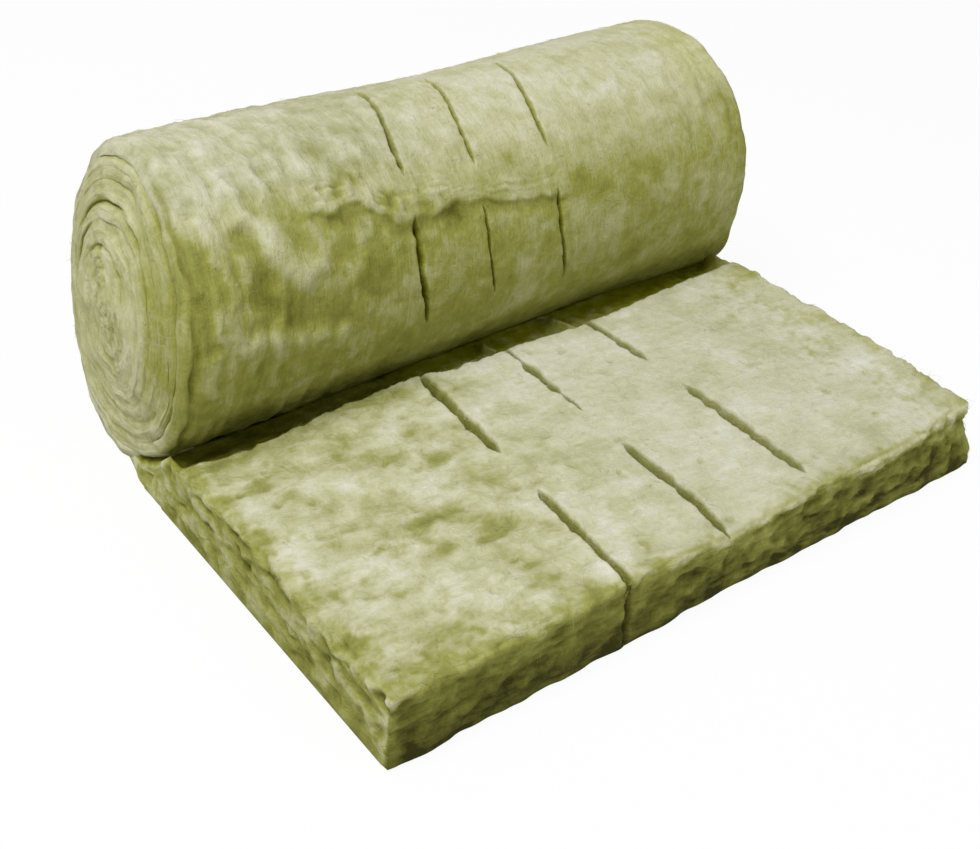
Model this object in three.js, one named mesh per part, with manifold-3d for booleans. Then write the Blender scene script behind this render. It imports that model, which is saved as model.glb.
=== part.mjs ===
// Partly unrolled loft-insulation roll: one continuous mat of mineral wool.
// Millimetres, +Z up. X runs along the roll's axis, Y from the mat's free front edge to the roll.
// The origin is at the middle of the box's base.

import * as THREE from 'three';
import { mergeVertices } from 'three/addons/utils/BufferGeometryUtils.js';
import Module from 'manifold-3d';

// Driving dimensions, in millimetres.
const MAT_WIDTH = 1140;           // along the roll's axis
const MAT_THICKNESS = 112;        // of the laid mat, fully lofted
const FRONT_TO_AXIS = 767;        // from the free front edge to the roll's axis, halfway along it
const SKEW = 57;                  // how much further back the roll's far end lies than its start end
const ROLL_RADIUS = 224;          // at the crease, where the outer turn goes under the roll
const TURN_PITCH = 29;            // one squeezed turn of the roll
const OUTER_GROWTH = 16;          // what the outer turn adds to the radius on its way round, more at the floor
const EYE_WIDTH = 12;             // the flattened bore that is left inside the first turn
const EYE_HEIGHT = 76;
const START_CROWN = 33;           // how far the middle of the start end stands out past its rim
const FAR_DISH = 14;              // how far the middle of the far end lies in from its rim
const START_RIM_ROUND = 24;       // soft outer edge of the start end
const FAR_RIM_ROUND = 12;
const LEAN = 56;                  // how far the start end's top has slipped along the axis
const TURN_GROOVE_WIDTH = 9;      // between two turns, on the ends
const TURN_GROOVE_DEPTH = 16;
const EDGE_SOFTNESS = 10;         // rounding of the laid mat's top side edges
const FRONT_TOP_ROUND = 18;       // rounding of the laid mat's front top edge
const FRONT_FOOT_ROUND = 4;
const CREASE_DEPTH = 42;          // how far the laid mat dips where it goes under the roll
const CREASE_REACH = 46;          // length of that dip, in front of the roll
const TAIL_REACH = 12;            // how far the mat lies flat on the floor behind the axis

// The mat is part-cut along lines that split it into strips, with uncut bridges left in each line.
const SLIT_LINES = [-1, 0, 1];
const SLIT_SPACING_FRONT = 190;   // between two lines at the free front edge
const SLIT_SPACING_CREASE = 164;  // the lines draw together towards the roll
const SLIT_SPACING_ROLL = 138;
const SLIT_SHIFT_FRONT = -20;     // the middle line's distance from the mat's centre
const SLIT_SHIFT_CREASE = 11;
const SLIT_SHIFT_ROLL = -10;
const SLIT_WIDTH = 7;
const SLIT_LENGTH = 218;
const SLIT_BRIDGE = 94;
const SLIT_DEPTH = 70;            // in the laid mat
const ROLL_SLIT_DEPTH = 20;
const ROLL_SLIT_BRIDGE = 62;
const ROLL_SLIT_FIRST = 51;       // arc from the roll's top forwards to the middle of the nearest cut
const ROLL_SLITS_BEHIND = 2;      // cuts in each line behind that one
const ROLL_SLITS_AHEAD = 1;

const ROUND_STEPS = 3;            // facets in a small rounding
const ROLL_SIDES = 48;            // facets round the roll
const GROOVE_STEPS_PER_TURN = 16;
const MERGE_DISTANCE = 1e-3;
const FINEST_EDGE = 0.2;          // slivers that the cuts leave are merged below this size

// Values that follow from those above.
const HALF_WIDTH = MAT_WIDTH / 2;
const AXIS_Z = ROLL_RADIUS + OUTER_GROWTH;
const NIP_Z = MAT_THICKNESS - CREASE_DEPTH;
const NIP_ANGLE = Math.PI + Math.asin((AXIS_Z - NIP_Z) / ROLL_RADIUS);
const BACK_RADIUS = ROLL_RADIUS + (OUTER_GROWTH * NIP_ANGLE) / (2 * Math.PI);
const AXIS_Y = (FRONT_TO_AXIS - BACK_RADIUS) / 2;
const FRONT_Y = AXIS_Y - FRONT_TO_AXIS;
const NIP_Y = AXIS_Y + ROLL_RADIUS * Math.cos(NIP_ANGLE);
const TURNS = Math.floor((ROLL_RADIUS - EYE_HEIGHT / 2) / TURN_PITCH);

const wasm = await Module();
wasm.setup();

/** Merges the corners that meet, and drops the triangles that this leaves without an area. */
function weld(geometry) {
  const bare = geometry.clone();
  bare.deleteAttribute('normal');
  bare.deleteAttribute('uv');
  const merged = mergeVertices(bare, MERGE_DISTANCE);
  const corners = [];
  for (let i = 0; i < merged.index.count; i += 3) {
    const [a, b, c] = merged.index.array.slice(i, i + 3);
    const hasArea = a !== b && b !== c && c !== a;
    if (hasArea) corners.push(a, b, c);
  }
  merged.setIndex(corners);
  return merged;
}

/** Turns a closed geometry into a solid that can be joined and cut, with its faces pointing out. */
function toSolid(geometry) {
  const welded = weld(geometry);
  const vertProperties = new Float32Array(welded.attributes.position.array);
  const triVerts = new Uint32Array(welded.index.array);
  const solid = new wasm.Manifold(new wasm.Mesh({ numProp: 3, vertProperties, triVerts }));
  if (solid.volume() > 0) return solid;
  triVerts.reverse();
  return new wasm.Manifold(new wasm.Mesh({ numProp: 3, vertProperties, triVerts }));
}

/** Turns a solid back into a geometry. */
function toGeometry(solid) {
  const mesh = solid.getMesh();
  const geometry = new THREE.BufferGeometry();
  geometry.setAttribute('position', new THREE.BufferAttribute(new Float32Array(mesh.vertProperties), 3));
  geometry.setIndex(new THREE.BufferAttribute(new Uint32Array(mesh.triVerts), 1));
  const welded = weld(geometry);
  welded.computeVertexNormals();
  return welded;
}

/** Moves every vertex of a geometry by a function of its place. */
function reshape(geometry, move) {
  const position = geometry.attributes.position;
  const point = new THREE.Vector3();
  for (let i = 0; i < position.count; i++) {
    point.fromBufferAttribute(position, i);
    move(point);
    position.setXYZ(i, point.x, point.y, point.z);
  }
  return geometry;
}

/** Stands an outline drawn in (Y, Z) up and extrudes it along X between two places. */
function extrudeAlongX(outline, fromX, toX, options = {}) {
  const geometry = new THREE.ExtrudeGeometry(outline, { depth: toX - fromX, bevelEnabled: false, ...options });
  const standUp = new THREE.Matrix4().makeBasis(
    new THREE.Vector3(0, 1, 0),
    new THREE.Vector3(0, 0, 1),
    new THREE.Vector3(1, 0, 0)
  );
  geometry.applyMatrix4(standUp);
  return geometry.translate(fromX, 0, 0);
}

/**
 * How far an end's surface stands in from the mat's side, at a distance from the axis: the outer turns
 * have slipped towards the far end. side is -1 for the start end and 1 for the far end.
 */
function slipInset(side, radius) {
  const outerness = (radius / ROLL_RADIUS) ** 2;
  return side < 0 ? START_CROWN * outerness : FAR_DISH * (1 - outerness);
}

/** The slip and the soft rims die out towards the floor, where the turns lie flush with the laid mat. */
function slipShare(z) {
  return Math.min(1, z / ROLL_RADIUS) ** 0.5;
}

/** The start end leans: its top has slipped inwards, and the slip dies out towards the other end. */
function leanAt(x, z) {
  return LEAN * (z / (2 * ROLL_RADIUS)) * ((HALF_WIDTH - x) / MAT_WIDTH);
}

/** Winds a round turned shape: its radius grows from the crease, over the top, to the floor. */
function wind(point) {
  const dy = point.y - AXIS_Y;
  const dz = point.z - AXIS_Z;
  const fromCrease = THREE.MathUtils.euclideanModulo(NIP_ANGLE - Math.atan2(dz, dy), 2 * Math.PI);
  const outerness = (Math.hypot(dy, dz) / ROLL_RADIUS) ** 2;
  const growth = 1 + (OUTER_GROWTH / ROLL_RADIUS) * (fromCrease / (2 * Math.PI)) * outerness;
  point.y = AXIS_Y + dy * growth;
  point.z = AXIS_Z + dz * growth;
}

/** Turns the roll out of square with the mat's front edge; share is 0 for what stays square with it. */
function skewAt(x, share = 1) {
  return (SKEW * share * x) / MAT_WIDTH;
}

/** Sets the wound roll's ends flush with the laid mat at the floor, and leans the start end. */
function settleEnds(point) {
  const inset = HALF_WIDTH - Math.abs(point.x);
  const x = Math.sign(point.x) * (HALF_WIDTH - inset * slipShare(point.z));
  point.x = x + leanAt(x, point.z);
  point.y += skewAt(point.x);
}

/** Half of the turned profile, as (radius, place along the axis): from the axis out to the rim's edge. */
function endProfile(side) {
  const points = [];
  const rimRound = side < 0 ? START_RIM_ROUND : FAR_RIM_ROUND;
  const flatRadius = ROLL_RADIUS - rimRound;
  for (const share of [0, 0.5, 1]) {
    const radius = flatRadius * share;
    points.push(new THREE.Vector2(radius, side * (HALF_WIDTH - slipInset(side, radius))));
  }
  const roundCentre = HALF_WIDTH - slipInset(side, flatRadius) - rimRound;
  for (let i = 1; i <= ROUND_STEPS; i++) {
    const angle = (i / ROUND_STEPS) * (Math.PI / 2);
    const radius = flatRadius + rimRound * Math.sin(angle);
    points.push(new THREE.Vector2(radius, side * (roundCentre + rimRound * Math.cos(angle))));
  }
  return points;
}

/** The wound roll, turned about its axis. */
function makeRoll() {
  const profile = [...endProfile(-1), ...endProfile(1).reverse()];
  const geometry = new THREE.LatheGeometry(profile, ROLL_SIDES);
  geometry.rotateZ(-Math.PI / 2);
  geometry.translate(0, AXIS_Y, AXIS_Z);
  reshape(geometry, wind);
  return reshape(geometry, settleEnds);
}

/** Section of the laid mat: rounded front, flat top, the dip into the crease, and the tail under the roll. */
function laidOutline() {
  const outline = new THREE.Shape();
  const liftReach = TAIL_REACH + TURN_PITCH;
  const liftZ = AXIS_Z - Math.sqrt(AXIS_Z ** 2 - liftReach ** 2);
  outline.moveTo(FRONT_Y + FRONT_FOOT_ROUND, 0);
  outline.lineTo(AXIS_Y + TAIL_REACH, 0);
  outline.lineTo(AXIS_Y + liftReach, liftZ);
  outline.lineTo(AXIS_Y, TURN_PITCH);
  outline.lineTo(NIP_Y + TURN_PITCH, NIP_Z);
  outline.lineTo(NIP_Y, NIP_Z);
  outline.quadraticCurveTo(NIP_Y - CREASE_REACH / 3, MAT_THICKNESS, NIP_Y - CREASE_REACH, MAT_THICKNESS);
  outline.lineTo(FRONT_Y + FRONT_TOP_ROUND, MAT_THICKNESS);
  outline.quadraticCurveTo(FRONT_Y, MAT_THICKNESS, FRONT_Y, MAT_THICKNESS - FRONT_TOP_ROUND);
  outline.lineTo(FRONT_Y, FRONT_FOOT_ROUND);
  outline.quadraticCurveTo(FRONT_Y, 0, FRONT_Y + FRONT_FOOT_ROUND, 0);
  return outline;
}

/** The laid mat, with its section drawn in a little over the last millimetres of each side. */
function makeLaidMat() {
  const steps = 2 * ROUND_STEPS + 1;
  const geometry = extrudeAlongX(laidOutline(), -HALF_WIDTH, HALF_WIDTH, { steps, curveSegments: ROUND_STEPS });
  return reshape(geometry, (point) => {
    const station = Math.round(((point.x + HALF_WIDTH) / MAT_WIDTH) * steps);
    const fromSide = Math.min(station, steps - station);
    const turned = (fromSide / ROUND_STEPS) * (Math.PI / 2);
    const inset = EDGE_SOFTNESS * (1 - Math.sin(turned));
    const share = Math.min(1, (point.y - FRONT_Y) / (NIP_Y - FRONT_Y));
    point.x = Math.sign(point.x) * (HALF_WIDTH - EDGE_SOFTNESS * (1 - Math.cos(turned)));
    point.y += skewAt(point.x, share);
    point.z *= 1 - inset / MAT_THICKNESS;
  });
}

/** The line between two turns, from the eye's top round to the crease. */
class TurnLine extends THREE.Curve {
  getPoint(t, target = new THREE.Vector3()) {
    const eyeTop = Math.PI / 2;
    const turned = 2 * Math.PI * TURNS + NIP_ANGLE - eyeTop;
    const angle = NIP_ANGLE + turned * (1 - t);
    const radius = ROLL_RADIUS - ((turned * (1 - t)) / (2 * Math.PI)) * TURN_PITCH;
    return target.set(0, AXIS_Y + radius * Math.cos(angle), AXIS_Z + radius * Math.sin(angle));
  }
}

/** The spiral groove between the turns on one end; side is -1 for the start end and 1 for the other. */
function makeTurnGroove(side) {
  const wedge = new THREE.Shape();
  wedge.moveTo(-TURN_GROOVE_DEPTH, 0);
  wedge.lineTo(TURN_GROOVE_DEPTH, -TURN_GROOVE_WIDTH);
  wedge.lineTo(TURN_GROOVE_DEPTH, TURN_GROOVE_WIDTH);
  wedge.closePath();
  const steps = Math.round(TURNS * GROOVE_STEPS_PER_TURN);
  const geometry = new THREE.ExtrudeGeometry(wedge, { steps, extrudePath: new TurnLine() });
  return reshape(geometry, (point) => {
    const radius = Math.hypot(point.y - AXIS_Y, point.z - AXIS_Z);
    const x = side * (HALF_WIDTH - slipInset(side, radius) * slipShare(point.z) + point.x);
    point.x = x + leanAt(x, point.z);
    point.y += skewAt(x);
  });
}

/** The flattened bore, right through along the axis. */
function makeEye() {
  const outline = new THREE.Shape();
  outline.absellipse(AXIS_Y, AXIS_Z, EYE_WIDTH / 2, EYE_HEIGHT / 2, 0, 2 * Math.PI);
  const reach = HALF_WIDTH + LEAN;
  const geometry = extrudeAlongX(outline, -reach, reach, { curveSegments: ROUND_STEPS });
  return reshape(geometry, (point) => {
    point.y += skewAt(point.x);
  });
}

/** Where a slit line crosses the laid mat, as X at a distance from the front edge. */
function slitX(line, fromFront) {
  const share = fromFront / (FRONT_TO_AXIS - ROLL_RADIUS);
  const front = SLIT_SHIFT_FRONT + line * SLIT_SPACING_FRONT;
  const crease = SLIT_SHIFT_CREASE + line * SLIT_SPACING_CREASE;
  return front + (crease - front) * share;
}

/** The two cuts of one line in the laid mat, the first starting in its front face. */
function laidSlits(line) {
  return [0, 1].map((n) => {
    const start = n * (SLIT_LENGTH + SLIT_BRIDGE) - (n === 0 ? FRONT_TOP_ROUND : 0);
    const end = n * (SLIT_LENGTH + SLIT_BRIDGE) + SLIT_LENGTH;
    const from = new THREE.Vector2(slitX(line, start), FRONT_Y + start);
    const to = new THREE.Vector2(slitX(line, end), FRONT_Y + end);
    const along = to.clone().sub(from);
    const blade = new THREE.BoxGeometry(SLIT_WIDTH, along.length(), 2 * SLIT_DEPTH);
    blade.rotateZ(Math.atan2(-along.x, along.y));
    return blade.translate((from.x + to.x) / 2, (from.y + to.y) / 2, MAT_THICKNESS);
  });
}

/** The cuts of one line round the roll, spaced along its arc. */
function rollSlits(line) {
  const period = (SLIT_LENGTH + ROLL_SLIT_BRIDGE) / ROLL_RADIUS;
  const half = SLIT_LENGTH / 2 / ROLL_RADIUS;
  const first = Math.PI / 2 + ROLL_SLIT_FIRST / ROLL_RADIUS;
  const x = SLIT_SHIFT_ROLL + line * SLIT_SPACING_ROLL;
  const axisY = AXIS_Y + skewAt(x);
  const outerRadius = ROLL_RADIUS + 2 * OUTER_GROWTH;
  const innerRadius = ROLL_RADIUS - ROLL_SLIT_DEPTH;
  const blades = [];
  for (let n = -ROLL_SLITS_BEHIND; n <= ROLL_SLITS_AHEAD; n++) {
    const middle = first + n * period;
    const outline = new THREE.Shape();
    outline.absarc(axisY, AXIS_Z, outerRadius, middle - half, middle + half, false);
    outline.absarc(axisY, AXIS_Z, innerRadius, middle + half, middle - half, true);
    blades.push(extrudeAlongX(outline, x - SLIT_WIDTH / 2, x + SLIT_WIDTH / 2, { curveSegments: ROUND_STEPS }));
  }
  return blades;
}

/** Joins the roll and the laid mat into the one mat that they are, and cuts its eye, grooves and slits. */
function makeWoolMat() {
  let solid = toSolid(makeRoll()).add(toSolid(makeLaidMat()));
  const cuts = [makeEye(), makeTurnGroove(-1), makeTurnGroove(1)];
  for (const line of SLIT_LINES) {
    cuts.push(...laidSlits(line), ...rollSlits(line));
  }
  for (const cut of cuts) {
    solid = solid.subtract(toSolid(cut));
  }
  const geometry = toGeometry(solid.simplify(FINEST_EDGE));
  geometry.computeBoundingBox();
  const middle = geometry.boundingBox.getCenter(new THREE.Vector3());
  geometry.translate(0, -middle.y, 0);
  const mesh = new THREE.Mesh(
    geometry,
    new THREE.MeshStandardMaterial({ color: 0xaeae76, roughness: 1, metalness: 0 })
  );
  mesh.name = 'wool_mat';
  return mesh;
}

const insulationRoll = new THREE.Group();
insulationRoll.add(makeWoolMat());

export default insulationRoll;
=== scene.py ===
"""A partly unrolled insulation roll: one mat of glass wool, laid flat in front and still wound behind.

Run as a script in Blender 4.5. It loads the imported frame, dresses it, and builds a plain studio round it.
Metres, +Z up. X runs along the roll's axis, Y from the mat's free front edge to the roll.
"""

import math

import bmesh
import bpy
import numpy as np
from bpy.props import (
    FloatProperty,
    FloatVectorProperty,
    IntProperty,
    PointerProperty,
)
from mathutils import Matrix, Vector


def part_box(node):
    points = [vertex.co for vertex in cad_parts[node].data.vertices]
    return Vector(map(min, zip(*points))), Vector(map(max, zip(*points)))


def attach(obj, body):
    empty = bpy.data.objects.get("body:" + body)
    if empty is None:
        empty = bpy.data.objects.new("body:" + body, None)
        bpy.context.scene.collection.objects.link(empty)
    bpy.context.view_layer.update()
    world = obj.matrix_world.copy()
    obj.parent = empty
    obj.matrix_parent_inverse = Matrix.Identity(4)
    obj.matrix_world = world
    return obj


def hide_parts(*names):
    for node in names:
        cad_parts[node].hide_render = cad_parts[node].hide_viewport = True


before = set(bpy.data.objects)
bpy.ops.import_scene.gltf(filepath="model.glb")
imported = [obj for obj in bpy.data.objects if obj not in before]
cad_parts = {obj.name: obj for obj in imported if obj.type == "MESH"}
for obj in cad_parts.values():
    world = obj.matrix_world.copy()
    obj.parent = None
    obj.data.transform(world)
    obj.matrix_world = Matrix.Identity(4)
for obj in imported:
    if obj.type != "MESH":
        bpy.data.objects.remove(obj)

bl_info = {
    "name": "Insulation Roll",
    "version": (1, 0, 0),
    "blender": (4, 5, 0),
    "location": "View3D > Sidebar > Insulation Roll",
    "description": "Builds a partly unrolled glass wool mat and a plain studio for it",
    "category": "Add Mesh",
}

MM = 0.001
FULL_TURN = 2 * math.pi
JUST_PAST = 1e-6  # keeps a place that lies right on the crease on its own side, against rounding
CAD_NODE = "wool_mat"
START, FAR = -1, 1  # the roll's two ends

CAD_LOW, CAD_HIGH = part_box(CAD_NODE)
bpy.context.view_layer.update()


def linear(hex_colour):
    """Turns an sRGB hex colour into linear red, green and blue."""
    channels = [int(hex_colour[i : i + 2], 16) / 255 for i in (1, 3, 5)]
    return [c / 12.92 if c <= 0.04045 else ((c + 0.055) / 1.055) ** 2.4 for c in channels]


def length(label, text, millimetres):
    """A length that a user can set, given here in millimetres."""
    return FloatProperty(name=label, description=text, default=millimetres * MM, unit="LENGTH", min=0)


def colour(label, text, hex_colour):
    """A colour that a user can set, given here as sRGB hex."""
    return FloatVectorProperty(
        name=label, description=text, default=linear(hex_colour), subtype="COLOR", size=3, min=0, max=1
    )


class MatSizes(bpy.types.PropertyGroup):
    """Sizes of the mat, laid and wound."""

    thickness: length("Thickness", "Height of the laid mat, fully lofted", 112)
    front_to_axis: length("Front to axis", "From the free front edge to the roll's axis", 767)
    skew: length("Skew", "How much further back the roll's far end lies", 57)
    roll_radius: length("Roll radius", "Radius of the roll at the crease", 224)
    outer_growth: length("Outer growth", "What the outer turn adds to the radius on its way round", 16)
    turn_pitch: length("Turn pitch", "One squeezed turn of the roll", 29)
    lean: length("Lean", "How far the start end's top has slipped along the axis", 56)
    start_crown: length("Start crown", "How far the middle of the start end stands out past its rim", 30)
    start_push: length("Start push", "How far the start end's middle turns are pushed out besides", 26)
    front_swell: length("Front swell", "How far the start end's front half stands out past its back half", 36)
    far_swell: length("Far swell", "How far the far end stands out past the mat's side", 21)
    waist: length("Waist", "How much slimmer the roll is in the middle than at its far end", 11)
    far_crown: length("Far crown", "How far the middle of the far end stands out past its rim", 8)
    far_foot: length("Far foot", "How much further the far end stands out near the floor", 17)
    far_sag: length("Far sag", "How far the far end's foot bulges forward over the mat", 15)
    start_rim_round: length("Start rim rounding", "Soft outer edge of the start end", 20)
    far_rim_round: length("Far rim rounding", "Soft outer edge of the far end", 34)
    edge_round: length("Edge rounding", "Rounding of the laid mat's top edges", 15)
    foot_round: length("Foot rounding", "Rounding of the laid mat's bottom edges", 3)
    foot_flare: length("Foot flare", "How far the cut front edge spreads at the floor", 8)
    far_spread: length("Far spread", "How much wider the laid mat is at the crease than at its front", 14)
    crease_depth: length("Crease depth", "How far the laid mat dips where it goes under the roll", 42)
    crease_reach: length("Crease reach", "Length of that dip", 84)
    tail_reach: length("Tail reach", "How far the mat lies flat on the floor behind the axis", 3)


class CutSizes(bpy.types.PropertyGroup):
    """Sizes of the part-cut lines."""

    spacing_front: length("Spacing at the front", "Between two cut lines at the free edge", 188)
    spacing_crease: length("Spacing at the crease", "Between two cut lines where the roll starts", 160)
    spacing_roll: length("Spacing on the roll", "Between two cut lines round the roll", 146)
    laid_depth: length("Depth, laid", "Depth of a cut in the laid mat", 70)
    roll_depth: length("Depth, rolled", "Depth of a cut in the roll's outer turn", 26)


class ReliefSizes(bpy.types.PropertyGroup):
    """Heights and widths of the wool's relief."""

    plate_size: length("Plate size", "Width of the loose plates in the wool's face", 58)
    plate_height: length("Plate height", "Height of those plates over the recesses between them", 3.0)
    tuft_size: length("Tuft size", "Width of the small tufts", 17)
    tuft_height: length("Tuft height", "Height of the small tufts", 1.1)
    flake_length: length("Flake length", "Length of the torn layers in a cut edge", 105)
    flake_size: length("Flake size", "Thickness of the torn layers in a cut edge", 18)
    flake_height: length("Flake height", "How far those layers stand out", 4.5)
    groove_depth: length("Groove depth", "Depth of the groove between two turns on an end", 7)
    seed: IntProperty(name="Seed", description="Start of the random relief", default=3, min=0)


class WoolColours(bpy.types.PropertyGroup):
    """Colours of the glass wool, from its deep cavities to its loose pale face; the dark stops also colour
    painted shade.
    """

    # The lowest stop is also the colour of painted shade: in the crease under the roll, in the slits and at
    # the foot of the cut faces.
    cavity_and_shade: colour("Cavity", "Deep between the fibres, where the binder shows", "#3a380e")
    cut_edge: colour("Cut edge", "Dense fibres of a cut or torn edge", "#70702c")
    body: colour("Body", "The wool's own green", "#95964a")
    face: colour("Face", "Loose fibres of the face", "#bebd94")
    tuft: colour("Tuft", "Pale tufts that catch the light", "#d9d8ca")


class StudioSettings(bpy.types.PropertyGroup):
    """The floor and the lamps."""

    floor: colour("Floor", "Colour of the floor and the backdrop", "#ffffff")
    key_power: FloatProperty(name="Key lamp", description="Power of the overhead lamp", default=272, min=0)
    fill_power: FloatProperty(name="Fill lamp", description="Power of the lamp in front", default=25, min=0)
    sky_strength: FloatProperty(name="Sky", description="Strength of the even light", default=0.36, min=0)


SCENE_GROUPS = {
    "mat_sizes": MatSizes,
    "cut_sizes": CutSizes,
    "relief_sizes": ReliefSizes,
    "wool_colours": WoolColours,
    "studio": StudioSettings,
}


# Wool relief


GRADIENT_COUNT = 256
HASH_PRIMES = np.array([73856093, 19349663, 83492791])
HASH_MIX = 1274126177
CUBE_CORNERS = np.array([[i, j, k] for i in (0, 1) for j in (0, 1) for k in (0, 1)])
SEED_SHIFT = np.array([17.31, 5.77, 29.13])


def make_gradients():
    """Directions that the noise picks from, the same at each run."""
    drawn = np.random.default_rng(11).normal(size=(GRADIENT_COUNT, 3))
    return drawn / np.linalg.norm(drawn, axis=1, keepdims=True)


GRADIENTS = make_gradients()


def soft_noise(points, size, seed):
    """Smooth noise, about -1 to 1, at each point; size is one feature size or one for each axis."""
    cell = points / np.asarray(size) + seed * SEED_SHIFT
    base = np.floor(cell).astype(np.int64)
    local = cell - base
    fade = local * local * local * (local * (local * 6 - 15) + 10)
    total = np.zeros(len(points))
    for corner in CUBE_CORNERS:
        key = (base + corner) @ HASH_PRIMES
        pick = (((key ^ (key >> 15)) * HASH_MIX) >> 9) % GRADIENT_COUNT
        weight = np.prod(np.where(corner, fade, 1 - fade), axis=1)
        total += weight * ((local - corner) * GRADIENTS[pick]).sum(axis=1)
    return total * 1.7


def fractal(points, size, seed, octaves=3, gain=0.5):
    """Noise on several scales, each half as large as the one before."""
    size = np.asarray(size, float)
    total = np.zeros(len(points))
    for octave in range(octaves):
        total += gain**octave * soft_noise(points, size / 2**octave, seed + octave)
    return total


def plates(points, size, seed, edge=0.36):
    """Soft plates with recesses between them: near 1 on a plate and near -1 in a recess."""
    return np.tanh(fractal(points, size, seed, 2, 0.45) / edge)


def shaken(points, reach, size, seed):
    """The points, each moved about by smooth noise, which makes a pattern on them ragged."""
    moves = [soft_noise(points, size, seed + axis) for axis in range(3)]
    return points + reach * np.stack(moves, axis=1)


def smooth(low, high, value):
    """0 below low, 1 above high, and a soft step between."""
    share = np.clip((value - low) / (high - low), 0, 1)
    return share * share * (3 - 2 * share)


def bump(middle, reach, value):
    """A soft bump: 1 at the middle, 0 past its reach."""
    return 1 - smooth(0, reach, np.abs(value - middle))


def read_off(table, value):
    """Value of a table of places and amounts, straight between its rows."""
    places, amounts = zip(*table)
    return np.interp(value, places, amounts)


def on_ring(angle, size, height):
    """Places on a ring, where noise meets itself after a full turn."""
    return np.stack([np.cos(angle) * size, np.sin(angle) * size, height], axis=1)


# The mat's form, as the frame has it


class Form:
    """The mat's sizes and what follows from them, for arrays of places."""

    def __init__(self, sizes):
        self.sizes = sizes
        self.half_width = CAD_HIGH.x
        self.front_y = CAD_LOW.y
        self.radius = sizes.roll_radius
        self.axis_y = self.front_y + sizes.front_to_axis
        self.axis_z = self.radius + sizes.outer_growth
        self.nip_z = sizes.thickness - sizes.crease_depth
        self.nip_angle = math.pi + math.asin((self.axis_z - self.nip_z) / self.radius)
        self.nip_y = self.axis_y + self.radius * math.cos(self.nip_angle)
        self.tail_y = self.axis_y + sizes.tail_reach

    def skew(self, x, y):
        """How far back a place moves, as the roll lies out of square with the mat's front edge."""
        share = np.clip((y - self.front_y) / (self.nip_y - self.front_y), 0, 1)
        return self.sizes.skew * share * x / (2 * self.half_width)

    def lean(self, x, z):
        """How far a place moves along the axis, as the start end leans in at its top."""
        return self.sizes.lean * z / (2 * self.radius) * (self.half_width - x) / (2 * self.half_width)

    def outer_radius(self, angle, x=0.0):
        """Radius of the outer turn, growing from the crease, over the top, to the floor."""
        from_crease = np.mod(self.nip_angle - angle, FULL_TURN)
        slimmer = 0.6 * bump(0.0, 0.36, x) - 0.4 * smooth(0.15, 0.5, x)
        waist = self.sizes.waist * slimmer * smooth(-0.4, 0.5, np.sin(angle))
        sag = self.sizes.far_sag * smooth(0.25, 0.55, x) * smooth(0.65, 0.15, from_crease)
        return self.radius + self.sizes.outer_growth * from_crease / FULL_TURN - waist + sag

    def groove_radius(self, angle):
        """Radius of the first groove inside the outer turn."""
        turned = np.mod(angle - self.nip_angle - JUST_PAST, FULL_TURN)
        return self.radius - self.sizes.turn_pitch * turned / FULL_TURN

    def end_inset(self, side, radius, angle):
        """How far an end's surface stands in from the mat's side."""
        sizes = self.sizes
        outerness = np.minimum((radius / self.radius) ** 2, 1.15)
        z = self.axis_z + radius * np.sin(angle)
        height_share = np.clip(z / self.radius, 0, 1)
        middle = 1 - np.minimum(outerness, 1)
        if side == FAR:
            foot = sizes.far_foot * smooth(0.0, 0.8, -np.sin(angle)) * np.minimum(outerness, 1)
            return -(sizes.far_swell + sizes.far_crown * middle) * height_share**0.1 - foot
        front = np.clip(-np.cos(angle), 0, 1) * np.minimum(outerness, 1) ** 0.5
        top = 0.35 * smooth(0.55, 1.0, np.sin(angle)) * outerness
        pushed = sizes.front_swell * front + sizes.start_push * middle
        return (sizes.start_crown * outerness * (1 - top) - pushed) * height_share**0.8

    def wheel_place(self, y, z):
        """Distance from the roll's axis, and angle round it, of places in the YZ plane."""
        radius = np.hypot(y - self.axis_y, z - self.axis_z)
        return radius, np.mod(np.arctan2(z - self.axis_z, y - self.axis_y), FULL_TURN)

    def roll_place(self, x, radius, angle):
        """Places on the roll, before it leans and lies out of square."""
        y, z = self.axis_y + radius * np.cos(angle), self.axis_z + radius * np.sin(angle)
        return np.stack([x, y, z], axis=1)

    def settle_roll(self, points):
        """Leans places on the roll and turns them out of square, where they are."""
        points[:, 0] += self.lean(points[:, 0], points[:, 2])
        points[:, 1] += self.sizes.skew * points[:, 0] / (2 * self.half_width)

    def roll_underside(self, y):
        """Height of the roll's lower half over a place on the floor."""
        return self.axis_z - np.sqrt(np.clip(self.radius**2 - (self.axis_y - y) ** 2, 0, None))

    def top_height(self, y):
        """Height of the laid mat's top: flat, then the dip, then under the roll."""
        reach = self.sizes.crease_reach
        dip = 1 - (1 - np.clip((y - self.nip_y + reach) / reach, 0, 1)) ** 2.6
        laid = self.sizes.thickness - self.sizes.crease_depth * dip
        under = np.minimum(self.roll_underside(y), self.nip_z)
        tail = np.interp(y, (self.axis_y, self.tail_y), (1.0, 0.15))
        return np.where(y > self.nip_y, under * tail, laid)


# Cuts: each line of them is a bundle of mesh columns that stand close together.

LINES = (-1, 0, 1)
BUNDLE = np.array([-1.0, -0.68, -0.38, -0.14, 0.14, 0.38, 0.68, 1.0])  # columns, in half widths of the cut
BUNDLE_DEPTH = np.array([0.0, 0.10, 0.50, 1.0, 1.0, 0.50, 0.10, 0.0])
LEAST_HALF = 1.8 * MM  # half width of a bundle at a cut's tip
SPARE_HALF = 6 * MM  # and how much wider it gets where the mat isn't cut
CUT_TAPER = 26 * MM
# A cut line's raggedness: the scale of its width's noise, the scale of its sway, and how far it sways.
LAID_CUT_NOISE = (26 * MM, 34 * MM, 1.6 * MM)
ROLL_CUT_NOISE = (24 * MM, 30 * MM, 1.5 * MM)

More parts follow.
